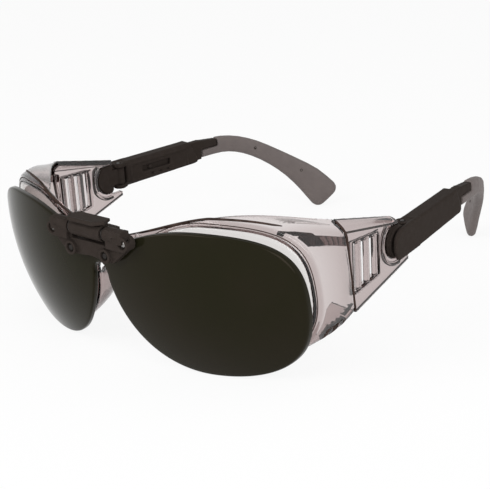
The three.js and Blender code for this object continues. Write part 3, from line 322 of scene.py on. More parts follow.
def metres(value, title, text, low=0.0):
    """A length property."""
    return bpy.props.FloatProperty(
        name=title, description=text, default=value * MM, min=low, unit="LENGTH", precision=5
    )


def colour(value, title, text):
    """A colour property, in linear light."""
    return bpy.props.FloatVectorProperty(
        name=title, description=text, default=value, subtype="COLOR", size=3, min=0.0, max=1.0
    )


class SpectacleSizes(bpy.types.PropertyGroup):
    """Sizes of the moulded pieces."""

    visor_thickness: metres(2.2, "Visor thickness", "Thickness of the dark visor")
    visor_edge: metres(0.6, "Visor edge", "Rounding of the visor's edge")
    rim_width: metres(2.1, "Rim width", "Width of the rims around the lenses")
    rim_depth: metres(1.8, "Rim depth", "Depth of the rims, front to back")
    rim_edge: metres(0.3, "Rim edge", "Rounding of the rims' edges")
    rim_lip: metres(1.2, "Rim lip", "Width of the raised lip round the lenses")
    lip_height: metres(0.45, "Lip height", "Height of the lip above the rims' face")
    wing: metres(1.8, "Nose wing", "Thickness of the nose wings")
    lens_thickness: metres(1.3, "Lens thickness", "Thickness of the clear lenses")
    frame_cell: metres(0.3, "Frame cell", "Cell of the frame's moulded skin", 0.0001)
    shield_cell: metres(0.22, "Shield cell", "Cell of the side shields' moulded skin", 0.0001)
    hinge_cell: metres(0.17, "Hinge cell", "Cell of the small hinge pieces' skin", 0.0001)
    temple_cell: metres(0.28, "Temple cell", "Cell of the temples' moulded skin", 0.0001)
    metal_cell: metres(0.1, "Metal cell", "Cell of the fasteners' skin", 0.00005)


class SpectacleColours(bpy.types.PropertyGroup):
    """Colours of the finishes."""

    smoke: colour((0.38, 0.23, 0.21), "Smoke", "What the smoky plastic lets through")
    smoke_density: bpy.props.FloatProperty(
        name="Smoke density", description="How strongly the smoky plastic absorbs", default=440.0
    )
    # Painted shade: the opaque dark beads along bends, lips and joints and the dark lugs take these two
    # colours.
    seam: colour((0.055, 0.036, 0.03), "Seam", "Dark beads of the smoky plastic painted as shade")
    painted_shade_dark: colour((0.022, 0.0145, 0.012), "Painted shade, dark", "Darker runs of the painted shade")
    lens: colour((0.6, 0.55, 0.52), "Lens", "What the clear lenses let through")
    lens_density: bpy.props.FloatProperty(
        name="Lens density", description="How strongly the clear lenses absorb", default=450.0
    )
    visor: colour((0.0095, 0.0096, 0.0042), "Visor", "Dark visor")
    visor_warm: colour((0.0115, 0.0102, 0.0056), "Visor, warm", "Warm clouding of the visor")
    black: colour((0.03, 0.0236, 0.0203), "Black", "Satin black plastic")
    black_worn: colour((0.0335, 0.0268, 0.0236), "Black, worn", "Rubbed patches of the black plastic")
    rubber: colour((0.128, 0.106, 0.1), "Rubber", "Grey rubber")
    rubber_dark: colour((0.116, 0.096, 0.091), "Rubber, dark", "Darker clouding of the rubber")
    steel: colour((0.3, 0.29, 0.28), "Steel", "Bright steel")
    steel_dark: colour((0.035, 0.031, 0.029), "Steel, dark", "Blackened steel")


class SpectacleStudio(bpy.types.PropertyGroup):
    """Floor and light."""

    floor: colour((0.9, 0.9, 0.9), "Floor", "Colour of the floor")
    floor_glow: bpy.props.FloatProperty(
        name="Floor glow", description="Share of plain white in the floor", default=0.88
    )
    sky: bpy.props.FloatProperty(
        name="Sky", description="Strength of the light from all around", default=0.7
    )
    key: bpy.props.FloatProperty(
        name="Key light", description="Power of the main lamp", default=5.0, unit="POWER"
    )
    fill: bpy.props.FloatProperty(
        name="Fill light", description="Power of the side lamp", default=4.0, unit="POWER"
    )


# Outlines, in X and Z


class Outline:
    """A run of points, drawn with lines and curves."""

    def __init__(self, x, z):
        self.points = [(x, z)]

    def line(self, x, z):
        """A straight run to a point."""
        self.points.append((x, z))
        return self

    def curve(self, leave, arrive, end):
        """A cubic curve with two handles."""
        start, leave, arrive, end = map(np.array, (self.points[-1], leave, arrive, end))
        for t in np.linspace(0, 1, CURVE_STEPS + 1)[1:]:
            s = 1 - t
            point = s**3 * start + 3 * s * s * t * leave + 3 * s * t * t * arrive + t**3 * end
            self.points.append(tuple(point))
        return self

    def quarter(self, x, z, leaves_level, fullness):
        """A rounded quarter that leaves level or upright and arrives the other way."""
        x0, z0 = self.points[-1]
        along_x = (x - x0) * fullness
        along_z = (z - z0) * fullness
        if leaves_level:
            return self.curve((x0 + along_x, z0), (x, z - along_z), (x, z))
        return self.curve((x0, z0 + along_z), (x - along_x, z), (x, z))

    def array(self):
        """The points as an array."""
        return np.array(self.points, float)


def visor_half():
    """The visor's outline from the top of the middle plane to the notch."""
    width, rise = VISOR_TOP_X - VISOR_STRIP_HALF, VISOR_TOP - VISOR_STRIP_TOP
    along, up = VISOR_STRIP_LEAVE
    run = Outline(0, VISOR_STRIP_TOP).line(VISOR_STRIP_HALF, VISOR_STRIP_TOP)
    run.curve(
        (VISOR_STRIP_HALF + width * along, VISOR_STRIP_TOP + rise * up),
        (VISOR_STRIP_HALF + width * VISOR_STRIP_ARRIVE, VISOR_TOP),
        (VISOR_TOP_X, VISOR_TOP),
    )
    run.quarter(VISOR_OUTER, VISOR_OUTER_Z, True, VISOR_UPPER_FULLNESS)
    run.quarter(VISOR_BOTTOM_X, 0, False, VISOR_LOWER_FULLNESS)
    along, up = VISOR_NOSE_ARRIVE
    run.curve(
        (VISOR_BOTTOM_X * VISOR_NOSE_LEAVE, 0),
        (VISOR_INNER * along, VISOR_INNER_Z * up),
        (VISOR_INNER, VISOR_INNER_Z),
    )
    run.quarter(0, VISOR_NOTCH_TOP, False, NOTCH_FULLNESS)
    return run.array()


def eye_outline(margin):
    """The left eye's opening grown by a margin."""
    run = Outline(OPENING_TOP_X, OPENING_TOP + margin)
    run.quarter(OPENING_OUTER + margin, OPENING_OUTER_Z, True, RIM_UPPER_FULLNESS)
    run.quarter(OPENING_TOP_X, OPENING_BOTTOM - margin, False, RIM_LOWER_FULLNESS)
    run.quarter(OPENING_INNER - margin, OPENING_INNER_Z, True, RIM_NOSE_FULLNESS)
    run.quarter(OPENING_TOP_X, OPENING_TOP + margin, False, RIM_BROW_FULLNESS)
    return run.array()[:-1]


def rim_run(rim):
    """The rims' outer edge from the bridge over the brow and the outer side to the bottom."""
    top = OPENING_TOP + BROW_WIDTH
    rise = top - BRIDGE_TOP
    run = Outline(0, BRIDGE_TOP)
    run.curve(
        (OPENING_TOP_X * BROW_LEAVE[0], BRIDGE_TOP + rise * BROW_LEAVE[1]),
        (OPENING_TOP_X * BROW_ARRIVE[0], top - rise * BROW_ARRIVE[1]),
        (OPENING_TOP_X, top),
    )
    run.quarter(OPENING_OUTER + rim, OPENING_OUTER_Z, True, RIM_UPPER_FULLNESS)
    run.quarter(OPENING_TOP_X, OPENING_BOTTOM - rim, False, RIM_LOWER_FULLNESS)
    return run.array()


def nose_run(rim):
    """The rims' outer edge from the bottom up beside the nose."""
    run = Outline(OPENING_TOP_X, OPENING_BOTTOM - rim)
    run.quarter(OPENING_INNER - rim, OPENING_INNER_Z, True, RIM_NOSE_FULLNESS)
    return run.array()


def frame_half(rim):
    """Outline of the left half of the frame's front, past the middle plane."""
    run = Outline(-BRIDGE_OVERLAP, BRIDGE_TOP)
    run.points += [tuple(point) for point in rim_run(rim)]
    run.points += [tuple(point) for point in nose_run(rim)[1:]]
    run.quarter(0, BRIDGE_BOTTOM, False, NOTCH_FULLNESS)
    run.line(-BRIDGE_OVERLAP, BRIDGE_BOTTOM)
    return run.array()


def upper_corner(top, flange, rise):
    """An upper flange and the rounded corner below it, at the sides' outer face."""
    start = JOINT_X - CORNER_ROUND
    bend = rise * CORNER_ROUND / flange
    run = Outline(JOINT_X - flange, top + rise).line(start, top + bend)
    return run.curve(
        (start + 2 / 3 * CORNER_ROUND, top + bend / 3),
        (JOINT_X, top - CORNER_ROUND / 3),
        (JOINT_X, top - CORNER_ROUND),
    )


def channel_edge():
    """Outline of the side wall's rear end: flange, corner, side, corner, flange."""
    start = JOINT_X - CORNER_ROUND
    bend = LOWER_FLANGE_RISE * CORNER_ROUND / LOWER_FLANGE_WIDTH
    run = upper_corner(JOINT_TOP, FLANGE_WIDTH, FLANGE_RISE)
    run.line(JOINT_X, JOINT_BOTTOM + CORNER_ROUND)
    run.curve(
        (JOINT_X, JOINT_BOTTOM + CORNER_ROUND / 3),
        (start + 2 / 3 * CORNER_ROUND, JOINT_BOTTOM + bend / 3),
        (start, JOINT_BOTTOM + bend),
    )
    run.line(JOINT_X - LOWER_FLANGE_WIDTH, JOINT_BOTTOM + LOWER_FLANGE_RISE)
    return run.array()


def at_shares(points, shares):
    """Points of a run at shares of its length."""
    steps = np.linalg.norm(np.diff(points, axis=0), axis=1)
    along = np.concatenate(([0.0], np.cumsum(steps))) / steps.sum()
    return np.stack([np.interp(shares, along, points[:, i]) for i in range(points.shape[1])], axis=-1)


def evenly(loop, count):
    """A closed loop as evenly spaced points."""
    closed = np.vstack([loop, loop[:1]])
    return at_shares(closed, np.arange(count) / count)


def spokes(start, end, count, closed=False):
    """Unit directions round a centre, from one angle to another."""
    turns = np.linspace(start, end, count, endpoint=not closed)
    return np.stack([np.cos(turns), np.sin(turns)], axis=-1)


def inward(loop):
    """Unit normals of a closed loop, towards its inside."""
    along = np.roll(loop, -1, axis=0) - np.roll(loop, 1, axis=0)
    normals = np.stack([along[:, 1], -along[:, 0]], axis=-1)
    normals /= np.linalg.norm(normals, axis=1, keepdims=True)
    x, z = loop[:, 0], loop[:, 1]
    area = np.sum(x * np.roll(z, -1) - np.roll(x, -1) * z)
    return -normals if area > 0 else normals


def reach_of(loop, heart, angles):
    """Distance from a heart to a closed loop round it, at each angle."""
    rays = loop - np.array(heart)
    turn = np.arctan2(rays[:, 1], rays[:, 0])
    order = np.argsort(turn)
    turn, far = turn[order], np.linalg.norm(rays, axis=1)[order]
    ends = np.concatenate((turn[-1:] - 2 * math.pi, turn, turn[:1] + 2 * math.pi))
    return np.interp(angles, ends, np.concatenate((far[-1:], far, far[:1])))


# Shapes


def shell_depth(x, z, inset):
    """Depth of the shell that lies inset behind the visor's outer face."""
    across = np.sqrt(x * x + BRIDGE_BLEND**2) - LOBE_OFFSET
    up = z - CURVE_HEIGHT
    radius = FRONT_RADIUS - inset
    return FRONT_RADIUS - np.sqrt(radius * radius - across * across - up * up)


def on_shell(flat, inset):
    """Points of the front brought onto a shell."""
    x, z = flat[..., 0], flat[..., 1]
    return np.stack([x, shell_depth(x, z, inset), z], axis=-1)


def joint_depth(z):
    """The leaning joint of side wall and shield."""
    return JOINT_Y + JOINT_LEAN * (JOINT_MIDDLE - z)


def shield_front(z):
    """Depth of the shield's front edge, behind the joint."""
    return joint_depth(z) + SHIELD_GAP


def temple_point(x, y, z):
    """A point of the left temple's frame, at the tilt pivot and turned in, in the maker's."""
    across, along = math.cos(TOE_IN), math.sin(TOE_IN)
    return (JOINT_X + x * across - y * along, PIVOT[0] + x * along + y * across, PIVOT[1] + z)


def place(points):
    """Points of the maker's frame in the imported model's frame."""
    return (np.asarray(points) + np.array((0, FRAME_Y, 0))) * MM


def maker_box(node):
    """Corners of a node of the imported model, in the maker's frame."""
    return np.array(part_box(node)) / MM - np.array((0, FRAME_Y, 0))


def roof_share():
    """Share of the side wall's outline that lies over the brow."""
    steps = np.linalg.norm(np.diff(channel_edge(), axis=0), axis=1)
    return steps[0] / steps.sum()


def wall_shares():
    """Shares of the side wall's outline, finer over the brow."""
    corner = roof_share()
    return np.concatenate([np.linspace(0, corner, ROOF_STEPS), np.linspace(corner, 1, SIDE_STEPS)[1:]])


def wall_rows(rim, inset, along, shares):
    """Outer face of the left side wall at shares of its outline, as rows from rim to joint."""
    stops = (SHELL_START, SHELL_CORNER, SHELL_END)
    root = at_shares(rim_run(rim), np.interp(shares, (0, roof_share(), 1), stops))
    front = on_shell(root, inset)
    end = at_shares(channel_edge(), shares)
    rear = np.stack([end[..., 0], joint_depth(end[..., 1]), end[..., 1]], axis=-1)
    rows = front + along * (rear - front)
    away = rows[..., ::2] - np.array((OPENING_TOP_X, JOINT_MIDDLE))
    away /= np.linalg.norm(away, axis=-1, keepdims=True)
    outwards, up, down = WALL_SWELL
    swell = 4 * along[..., 0] * (1 - along[..., 0])
    rows[..., 0] += outwards * swell * away[..., 0]
    rows[..., 2] += np.where(away[..., 1] > 0, up, down) * swell * away[..., 1]
    return rows


class Skin:
    """Points and faces of a piece while it is drawn."""

    def __init__(self):
        self.points = []
        self.faces = []

    def grid(self, rows, round_columns=False, round_rows=False):
        """A grid of points, as rows of columns, closed on itself where asked."""
        height, width = rows.shape[:2]
        base = len(self.points)
        self.points += rows.reshape(-1, 3).tolist()
        for j in range(height if round_rows else height - 1):
            for i in range(width if round_columns else width - 1):
                right, up = (i + 1) % width, (j + 1) % height
                corners = (j * width + i, j * width + right, up * width + right, up * width + i)
                self.faces.append([base + corner for corner in corners])

    def disc(self, loop, heart, inset, rings):
        """A face on a shell, spread from a heart to a closed loop."""
        heart = np.array(heart, float)
        shares = np.linspace(0, 1, rings + 1)[1:]
        flat = heart + shares[:, None, None] * (loop - heart)
        start = len(self.points)
        self.grid(on_shell(flat, inset), round_columns=True)
        middle = len(self.points)
        self.points += on_shell(heart[None], inset).tolist()
        count = len(loop)
        self.faces += [[middle, start + i, start + (i + 1) % count] for i in range(count)]

    def sheet(self, rows, towards, thickness, flat_end=None, sunk=0.0):
        """A closed sheet, sunk below a grid and thickened towards a side. flat_end is the
        normal of the plane that the last row ends on."""
        along = np.gradient(rows, axis=1)
        across = np.gradient(rows, axis=0)
        normal = np.cross(along, across)
        normal /= np.linalg.norm(normal, axis=2, keepdims=True)
        side = np.sign(np.sum(normal * (np.array(towards) - rows), axis=2, keepdims=True))
        normal *= side
        if flat_end is not None:
            share = np.linspace(0, 1, len(rows))[:, None, None] ** END_BLEND
            end = np.array(flat_end) / np.linalg.norm(flat_end)
            normal = normal - share * np.sum(normal * end, axis=2, keepdims=True) * end
        rows = rows + normal * sunk
        back = rows + normal * thickness
        loop = np.concatenate([rows, back[:, ::-1]], axis=1)
        base = len(self.points)
        self.grid(loop, round_columns=True)
        width = loop.shape[1]
        last = base + (len(rows) - 1) * width
        half = rows.shape[1]
        for start in (base, last):
            for i in range(half - 1):
                pair = (start + i, start + i + 1, start + width - 2 - i, start + width - 1 - i)
                self.faces.append(list(pair))

    def copied(self, node):
        """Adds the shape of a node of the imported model."""
        source = frame["nodes"][node]
        base = len(self.points)
        for corner in source.data.vertices:
            x, y, z = (source.matrix_world @ corner.co) / MM
            self.points.append((x, y - FRAME_Y, z))
        self.faces += [[base + i for i in face.vertices] for face in source.data.polygons]
        return self

    def prism(self, outline, low, high, to_point):
        """A flat outline swept from one height to another. to_point gives the place of a
        corner of the outline at a height."""
        base, count = len(self.points), len(outline)
        for height in (low, high):
            self.points += [to_point(corner, height) for corner in outline]
        ring = range(count)
        self.faces.append([base + i for i in reversed(ring)])
        self.faces.append([base + count + i for i in ring])
        for i in ring:
            after = (i + 1) % count
            self.faces.append([base + i, base + after, base + count + after, base + count + i])

    def tube(self, path, radius, closed=False):
        """A round bead along a path. radius is one value, or one for each point."""
        path = np.asarray(path, float)
        radius = np.broadcast_to(np.asarray(radius, float), len(path))
        if closed:
            along = np.roll(path, -1, axis=0) - np.roll(path, 1, axis=0)
        else:
            along = np.gradient(path, axis=0)
        along /= np.linalg.norm(along, axis=1, keepdims=True)
        side = np.cross(along, np.array(TUBE_ASIDE))
        side /= np.linalg.norm(side, axis=1, keepdims=True)
        up = np.cross(side, along)
        turns = spokes(0, 2 * math.pi, TUBE_SIDES, closed=True)[None]
        round_path = turns[..., :1] * side[:, None] + turns[..., 1:] * up[:, None]
        rings = path[:, None] + radius[:, None, None] * round_path
        base = len(self.points)
        self.grid(rings, round_columns=True, round_rows=closed)
        if not closed:
            last = base + (len(path) - 1) * TUBE_SIDES
            self.faces.append([base + i for i in range(TUBE_SIDES)])
            self.faces.append([last + i for i in reversed(range(TUBE_SIDES))])
        return self

    def added(self, other):
        """Adds another skin."""
        base = len(self.points)
        self.points += other.points
        self.faces += [[base + i for i in face] for face in other.faces]

    def sided(self, way):
        """This skin for the left side, or its mirror image for the right."""
        if way < 0:
            self.points = [(-x, y, z) for x, y, z in self.points]
            self.faces = [list(reversed(face)) for face in self.faces]
        return self

    def mirrored(self):
        """Adds the mirror image on the other side of the middle plane."""
        base = len(self.points)
        self.points += [(-x, y, z) for x, y, z in self.points]
        self.faces += [[base + corner for corner in reversed(face)] for face in self.faces]
        return self

    def piece(self, name):
        """The finished mesh as an object of the scene."""
        mesh = bpy.data.meshes.new(name)
        mesh.from_pydata(place(self.points).tolist(), [], self.faces)
        shape = bmesh.new()
        shape.from_mesh(mesh)
        bmesh.ops.remove_doubles(shape, verts=shape.verts, dist=WELD)
        bmesh.ops.recalc_face_normals(shape, faces=shape.faces)
        shape.to_mesh(mesh)
        shape.free()
        mesh.shade_smooth()
        made = bpy.data.objects.new(name, mesh)
        bpy.context.scene.collection.objects.link(made)
        return made


def edge_profile(thickness, edge):
    """Steps round a plate's edge, as distances in from the outline and down from the face."""
    turns = np.linspace(0, math.pi / 2, EDGE_STEPS + 1)
    inset = edge * (1 - np.sin(turns))
    down = edge * (1 - np.cos(turns))
    return np.stack(
        [np.concatenate([inset, inset[::-1]]), np.concatenate([down, thickness - down[::-1]])], axis=-1
    )


def plate_edge(skin, outline, front, thickness, edge):
    """The rounded edge of a curved plate along a closed outline. Returns its inner loop."""
    normals = inward(outline)
    rows = [on_shell(outline + normals * step, front + down) for step, down in edge_profile(thickness, edge)]
    skin.grid(np.stack(rows), round_columns=True)
    return outline + normals * edge


def moulded(piece, cell, passes):
    """Gives a piece one smooth moulded skin."""
    skin = piece.modifiers.new("moulded skin", "REMESH")
    skin.mode = "VOXEL"
    skin.voxel_size = cell
    skin.use_smooth_shade = True
    smoother = piece.modifiers.new("soft edges", "SMOOTH")
    smoother.factor = SMOOTHING
    smoother.iterations = passes
    return piece


def dress(node, finish, cell, passes):
    """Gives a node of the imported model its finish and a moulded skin."""
    piece = frame["nodes"][node]
    for holder in piece.material_slots:
        holder.material = finish
    moulded(piece, cell, passes)


# Finishes


def spread(tree, source, start, end):
    """A value of one range brought to another."""
    mapped = tree.nodes.new("ShaderNodeMapRange")
    for socket, value in zip(("From Min", "From Max", "To Min", "To Max"), (*start, *end)):
        mapped.inputs[socket].default_value = value
    tree.links.new(source, mapped.inputs["Value"])
    return mapped.outputs["Result"]


class Finish:
    """A material under construction, with one glossy shader."""

    def __init__(self, name):
        self.material = bpy.data.materials.new(name)
        self.material.use_nodes = True
        self.tree = self.material.node_tree
        self.tree.nodes.clear()
        self.output = self.tree.nodes.new("ShaderNodeOutputMaterial")
        self.shader = self.tree.nodes.new("ShaderNodeBsdfPrincipled")
        self.link(self.shader.outputs["BSDF"], self.output.inputs["Surface"])
        self.where = self.tree.nodes.new("ShaderNodeTexCoord").outputs["Object"]

    def link(self, source, target):
        """Joins two sockets."""
        self.tree.links.new(source, target)

    def set(self, **values):
        """Sets the shader's sockets, named with underscores for spaces."""
        for name, value in values.items():
            self.shader.inputs[name.replace("_", " ")].default_value = value

    def noise(self, scale, detail=3.0, stretch=None):
        """A cloudy pattern of so many features in a metre."""
        clouds = self.tree.nodes.new("ShaderNodeTexNoise")
        clouds.inputs["Scale"].default_value = scale
        clouds.inputs["Detail"].default_value = detail
        source = self.where
        if stretch is not None:
            mapping = self.tree.nodes.new("ShaderNodeMapping")
            mapping.inputs["Scale"].default_value = stretch
            self.link(source, mapping.inputs["Vector"])
            source = mapping.outputs["Vector"]
        self.link(source, clouds.inputs["Vector"])
        return clouds.outputs["Fac"]

    def blend(self, pattern, low, high, start=0.35, end=0.65):
        """Colour from a pattern between two colours."""
        ramp = self.tree.nodes.new("ShaderNodeValToRGB")
        for stop, place_on_ramp, tint in zip(ramp.color_ramp.elements, (start, end), (low, high)):
            stop.position = place_on_ramp
            stop.color = (*tint, 1)
        self.link(pattern, ramp.inputs["Fac"])
        self.link(ramp.outputs["Color"], self.shader.inputs["Base Color"])

    def gloss(self, pattern, low, high):
        """Roughness from a pattern."""
        rough = spread(self.tree, pattern, PATTERN_SPAN, (low, high))
        self.link(rough, self.shader.inputs["Roughness"])

    def grain(self, pattern, height, strength):
        """Fine relief from a pattern, in metres."""
        bump = self.tree.nodes.new("ShaderNodeBump")
        bump.inputs["Distance"].default_value = height
        bump.inputs["Strength"].default_value = strength
        self.link(pattern, bump.inputs["Height"])
        self.link(bump.outputs["Normal"], self.shader.inputs["Normal"])

    def absorbs(self, tint, density):
        """Light lost on its way through the piece."""
        volume = self.tree.nodes.new("ShaderNodeVolumeAbsorption")
        volume.inputs["Color"].default_value = (*tint, 1)
        volume.inputs["Density"].default_value = density
        self.link(volume.outputs["Volume"], self.output.inputs["Volume"])


def smoky_plastic(colours, name="smoky clear plastic", depth=1.0):
    """Clear plastic with a smoky brown tint and faint flow marks."""
    finish = Finish(name)
    finish.set(Transmission_Weight=1.0, IOR=PLASTIC_IOR, Base_Color=(1, 1, 1, 1))
    finish.gloss(finish.noise(scale=160, detail=4), low=0.02, high=0.09)
    finish.grain(finish.noise(scale=90, detail=2, stretch=(1, 0.4, 1)), height=0.0004, strength=0.06)
    finish.absorbs(colours.smoke, colours.smoke_density * depth)
    return finish.material


def smoky_wall(colours):
    """The smoky plastic of thin walls, tinted more deeply."""
    return smoky_plastic(colours, "smoky wall plastic", WALL_TINT)


def smoky_tenon(colours):
    """The smoky plastic of the tenons, which are seen edge on."""
    return smoky_plastic(colours, "smoky tenon plastic", TENON_TINT)


def painted_shade_plastic(colours):
    """Opaque dark plastic for painted shade: beads along bends, lips and joints, and lugs, in place of the
    dark lines that the clear plastic shows there.
    """
    finish = Finish("smoky painted shade plastic")
    finish.set(Specular_IOR_Level=0.02)
    finish.blend(finish.noise(scale=300, detail=4), colours.painted_shade_dark, colours.seam)
    finish.gloss(finish.noise(scale=600, detail=3), low=0.3, high=0.5)
    return finish.material


def clear_plastic(colours):
    """Clear lens plastic."""
    finish = Finish("clear lens plastic")
    finish.set(Transmission_Weight=1.0, IOR=LENS_IOR, Base_Color=(1, 1, 1, 1))
    finish.gloss(finish.noise(scale=60, detail=2), low=0.0, high=0.02)
    finish.absorbs(colours.lens, colours.lens_density)
    return finish.material


def visor_dark(colours):
    """Dark welding shade, polished."""
    finish = Finish("dark visor shade")
    finish.set(Specular_IOR_Level=0.09, Specular_Tint=(1, 0.78, 0.68, 1))
    finish.blend(finish.noise(scale=35, detail=3), colours.visor, colours.visor_warm)
    finish.gloss(finish.noise(scale=220, detail=4), low=0.06, high=0.12)
    return finish.material


def black_plastic(colours):
    """Satin black plastic with a fine spark-eroded grain."""
    finish = Finish("satin black plastic")
    finish.set(Specular_IOR_Level=0.004)
    finish.blend(finish.noise(scale=400, detail=5), colours.black, colours.black_worn, start=0.42, end=0.72)
    finish.gloss(finish.noise(scale=900, detail=4), low=0.28, high=0.42)
    finish.grain(finish.noise(scale=3500, detail=2), height=0.00004, strength=0.35)
    return finish.material


def grey_rubber(colours):
    """Matt grey rubber."""
    finish = Finish("grey rubber")
    finish.set(Specular_IOR_Level=0.35)
    finish.blend(finish.noise(scale=260, detail=5), colours.rubber_dark, colours.rubber, start=0.3, end=0.6)
    finish.gloss(finish.noise(scale=700, detail=4), low=0.52, high=0.7)
    finish.grain(finish.noise(scale=4200, detail=3), height=0.00005, strength=0.4)
    return finish.material


def bright_steel(colours):
    """Turned steel."""
    finish = Finish("bright steel")
    finish.set(Metallic=1.0)
    tone = tuple(colours.steel)
    finish.blend(finish.noise(scale=1800, detail=3), tuple(STEEL_SHADE * part for part in tone), tone)
    finish.gloss(finish.noise(scale=2500, detail=3), low=0.2, high=0.38)
    return finish.material


def dark_steel(colours):
    """Blackened steel; on the friction washers it is painted shade for the slits beside the barrel."""
    finish = Finish("blackened steel")
    finish.set(Metallic=1.0)
    tone = tuple(colours.steel_dark)
    finish.blend(finish.noise(scale=1500, detail=3), tuple(DARK_STEEL_SHADE * part for part in tone), tone)
    finish.gloss(finish.noise(scale=2200, detail=3), low=0.3, high=0.5)
    return finish.material


FINISHES = {
    "smoke_clear": smoky_plastic,
    "smoke_thin": smoky_wall,
    "smoke_tenon": smoky_tenon,
    "painted_shade_smoke": painted_shade_plastic,
    "lens_clear": clear_plastic,
    "visor_dark": visor_dark,
    "black_plastic": black_plastic,
    "grey_rubber": grey_rubber,
    "steel": bright_steel,
    "steel_dark": dark_steel,
}
made_finishes = {}


def finish_of(name):
    """The material of a slot, made when first asked for."""
    if name not in made_finishes:
        made_finishes[name] = FINISHES[name](bpy.context.scene.spectacle_colours)
    return made_finishes[name]


def settle(piece, body, slot, *nodes, finish=None):
    """Puts a finished piece in the frame: body, finish and the nodes it stands for."""
    piece.data.materials.append(finish_of(finish or slot))
    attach(piece, body)
    if nodes:
        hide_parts(*nodes)


def in_mm(length):
    """A property's length in millimetres."""
    return length / MM


# Operators


class SPECTACLES_OT_visor(bpy.types.Operator):
    """Dark flip-up visor: one polished curved shade with two lobes"""

    bl_idname = "spectacles.visor"
    bl_label = "Dark visor"

    def execute(self, context):
        sizes = context.scene.spectacle_sizes
        thickness, edge = in_mm(sizes.visor_thickness), in_mm(sizes.visor_edge)
        half = at_shares(visor_half(), np.linspace(0, 1, VISOR_STEPS))
        others = half[1:-1][::-1] * np.array((-1, 1))
        skin = Skin()
        inner = plate_edge(skin, np.vstack([half, others]), 0, thickness, edge)[: len(half)]
        inner[0, 0] = inner[-1, 0] = 0
        middle = np.linspace(inner[-1], inner[0], VISOR_MIDDLE_STEPS)[1:-1]
        loop = np.vstack([inner, middle])
        for way in SIDES.values():
            lobe = loop * np.array((way, 1))
            heart = (VISOR_HEART[0] * way, VISOR_HEART[1])
            for inset in (0, thickness):
                skin.disc(lobe, heart, inset, VISOR_RINGS)
        settle(skin.piece("dark_visor_shade"), "visor", "visor_dark", "dark_visor")
        return {"FINISHED"}


class SPECTACLES_OT_front_frame(bpy.types.Operator):
    """Smoky clear front frame: rims, bridge, side walls with flanges, nose wings"""

    bl_idname = "spectacles.front_frame"
    bl_label = "Front frame"

    def rims(self, skin, sizes):
        """Left half of the rims and the bridge, with a raised lip round the lens."""
        rim, depth, edge = in_mm(sizes.rim_width), in_mm(sizes.rim_depth), in_mm(sizes.rim_edge)
        lip, height = in_mm(sizes.rim_lip), in_mm(sizes.lip_height)
        rays = spokes(0, 2 * math.pi, RIM_STEPS, closed=True)
        angles = np.arctan2(rays[:, 1], rays[:, 0])
        inner = reach_of(eye_outline(0), EYE_HEART, angles)
        outer = reach_of(evenly(frame_half(rim), RIM_OUTLINE_STEPS), EYE_HEART, angles)
        foot = inner + lip
        profile = edge_profile(depth, edge)
        across = np.linspace(0, 1, RIM_FACE_STEPS)[1:-1]
        rows = [(inner + step, down) for step, down in profile]
        rows += [(inner + edge + share * (outer - inner - 2 * edge), depth) for share in across]
        rows += [(outer - step, height + down * (depth - height) / depth) for step, down in profile[::-1]]
        rows += [(foot + share * (outer - edge - foot), height) for share in across[::-1]]
        rows += [(foot + LIP_SLOPE, height), (foot, height / 2), (foot - LIP_SLOPE, 0)]
        heart = np.array(EYE_HEART)
        rings = [on_shell(heart + rays * reach[:, None], RIM_FRONT + down) for reach, down in rows]
        skin.grid(np.stack(rings), round_columns=True, round_rows=True)

    def wall(self, skin, rim, height):
        """Left side wall with its flanges and its roof over the brow, from rim to joint."""
        along = np.linspace(0, 1, WALL_ROWS)[:, None, None]
        shares = wall_shares()
        rows = wall_rows(rim, RIM_FRONT + height, along, shares)
        start, end = WALL_TAPER
        corner = roof_share()
        roof = np.interp(shares, (corner, 2 * corner), (ROOF_TAPER, 1))[None, :, None]
        skin.sheet(rows, WALL_HEART, (start + (end - start) * along) * roof, (0, 1, JOINT_LEAN))

    def nose_wing(self, skin, rim, height, thickness):
        """Left nose wing, flaring back from the rim."""
        front = on_shell(at_shares(nose_run(rim), np.linspace(*WING_ROOT, WING_STEPS)), RIM_FRONT + height)
        bulge = np.sin(np.linspace(0, math.pi, WING_STEPS))
        reach = WING_DEPTH * (WING_END + (1 - WING_END) * bulge) + RIM_DEPTH
        along = np.linspace(0, 1, WING_ROWS)[:, None]
        offset = np.zeros((WING_ROWS, WING_STEPS, 3))
        offset[..., 0] = WING_FLARE * along**2
        offset[..., 1] = along * reach
        skin.sheet(front + offset, WING_HEART, thickness)

    def execute(self, context):
        sizes = context.scene.spectacle_sizes
        rim, height = in_mm(sizes.rim_width), in_mm(sizes.lip_height)
        skin = Skin()
        self.rims(skin, sizes)
        self.wall(skin, rim, height)
        self.nose_wing(skin, rim, height, in_mm(sizes.wing))
        piece = skin.mirrored().piece("clear_front_frame")
        moulded(piece, sizes.frame_cell, SKIN_PASSES)
        settle(piece, "front", "smoke_clear", "front_frame", finish="smoke_thin")
        return {"FINISHED"}


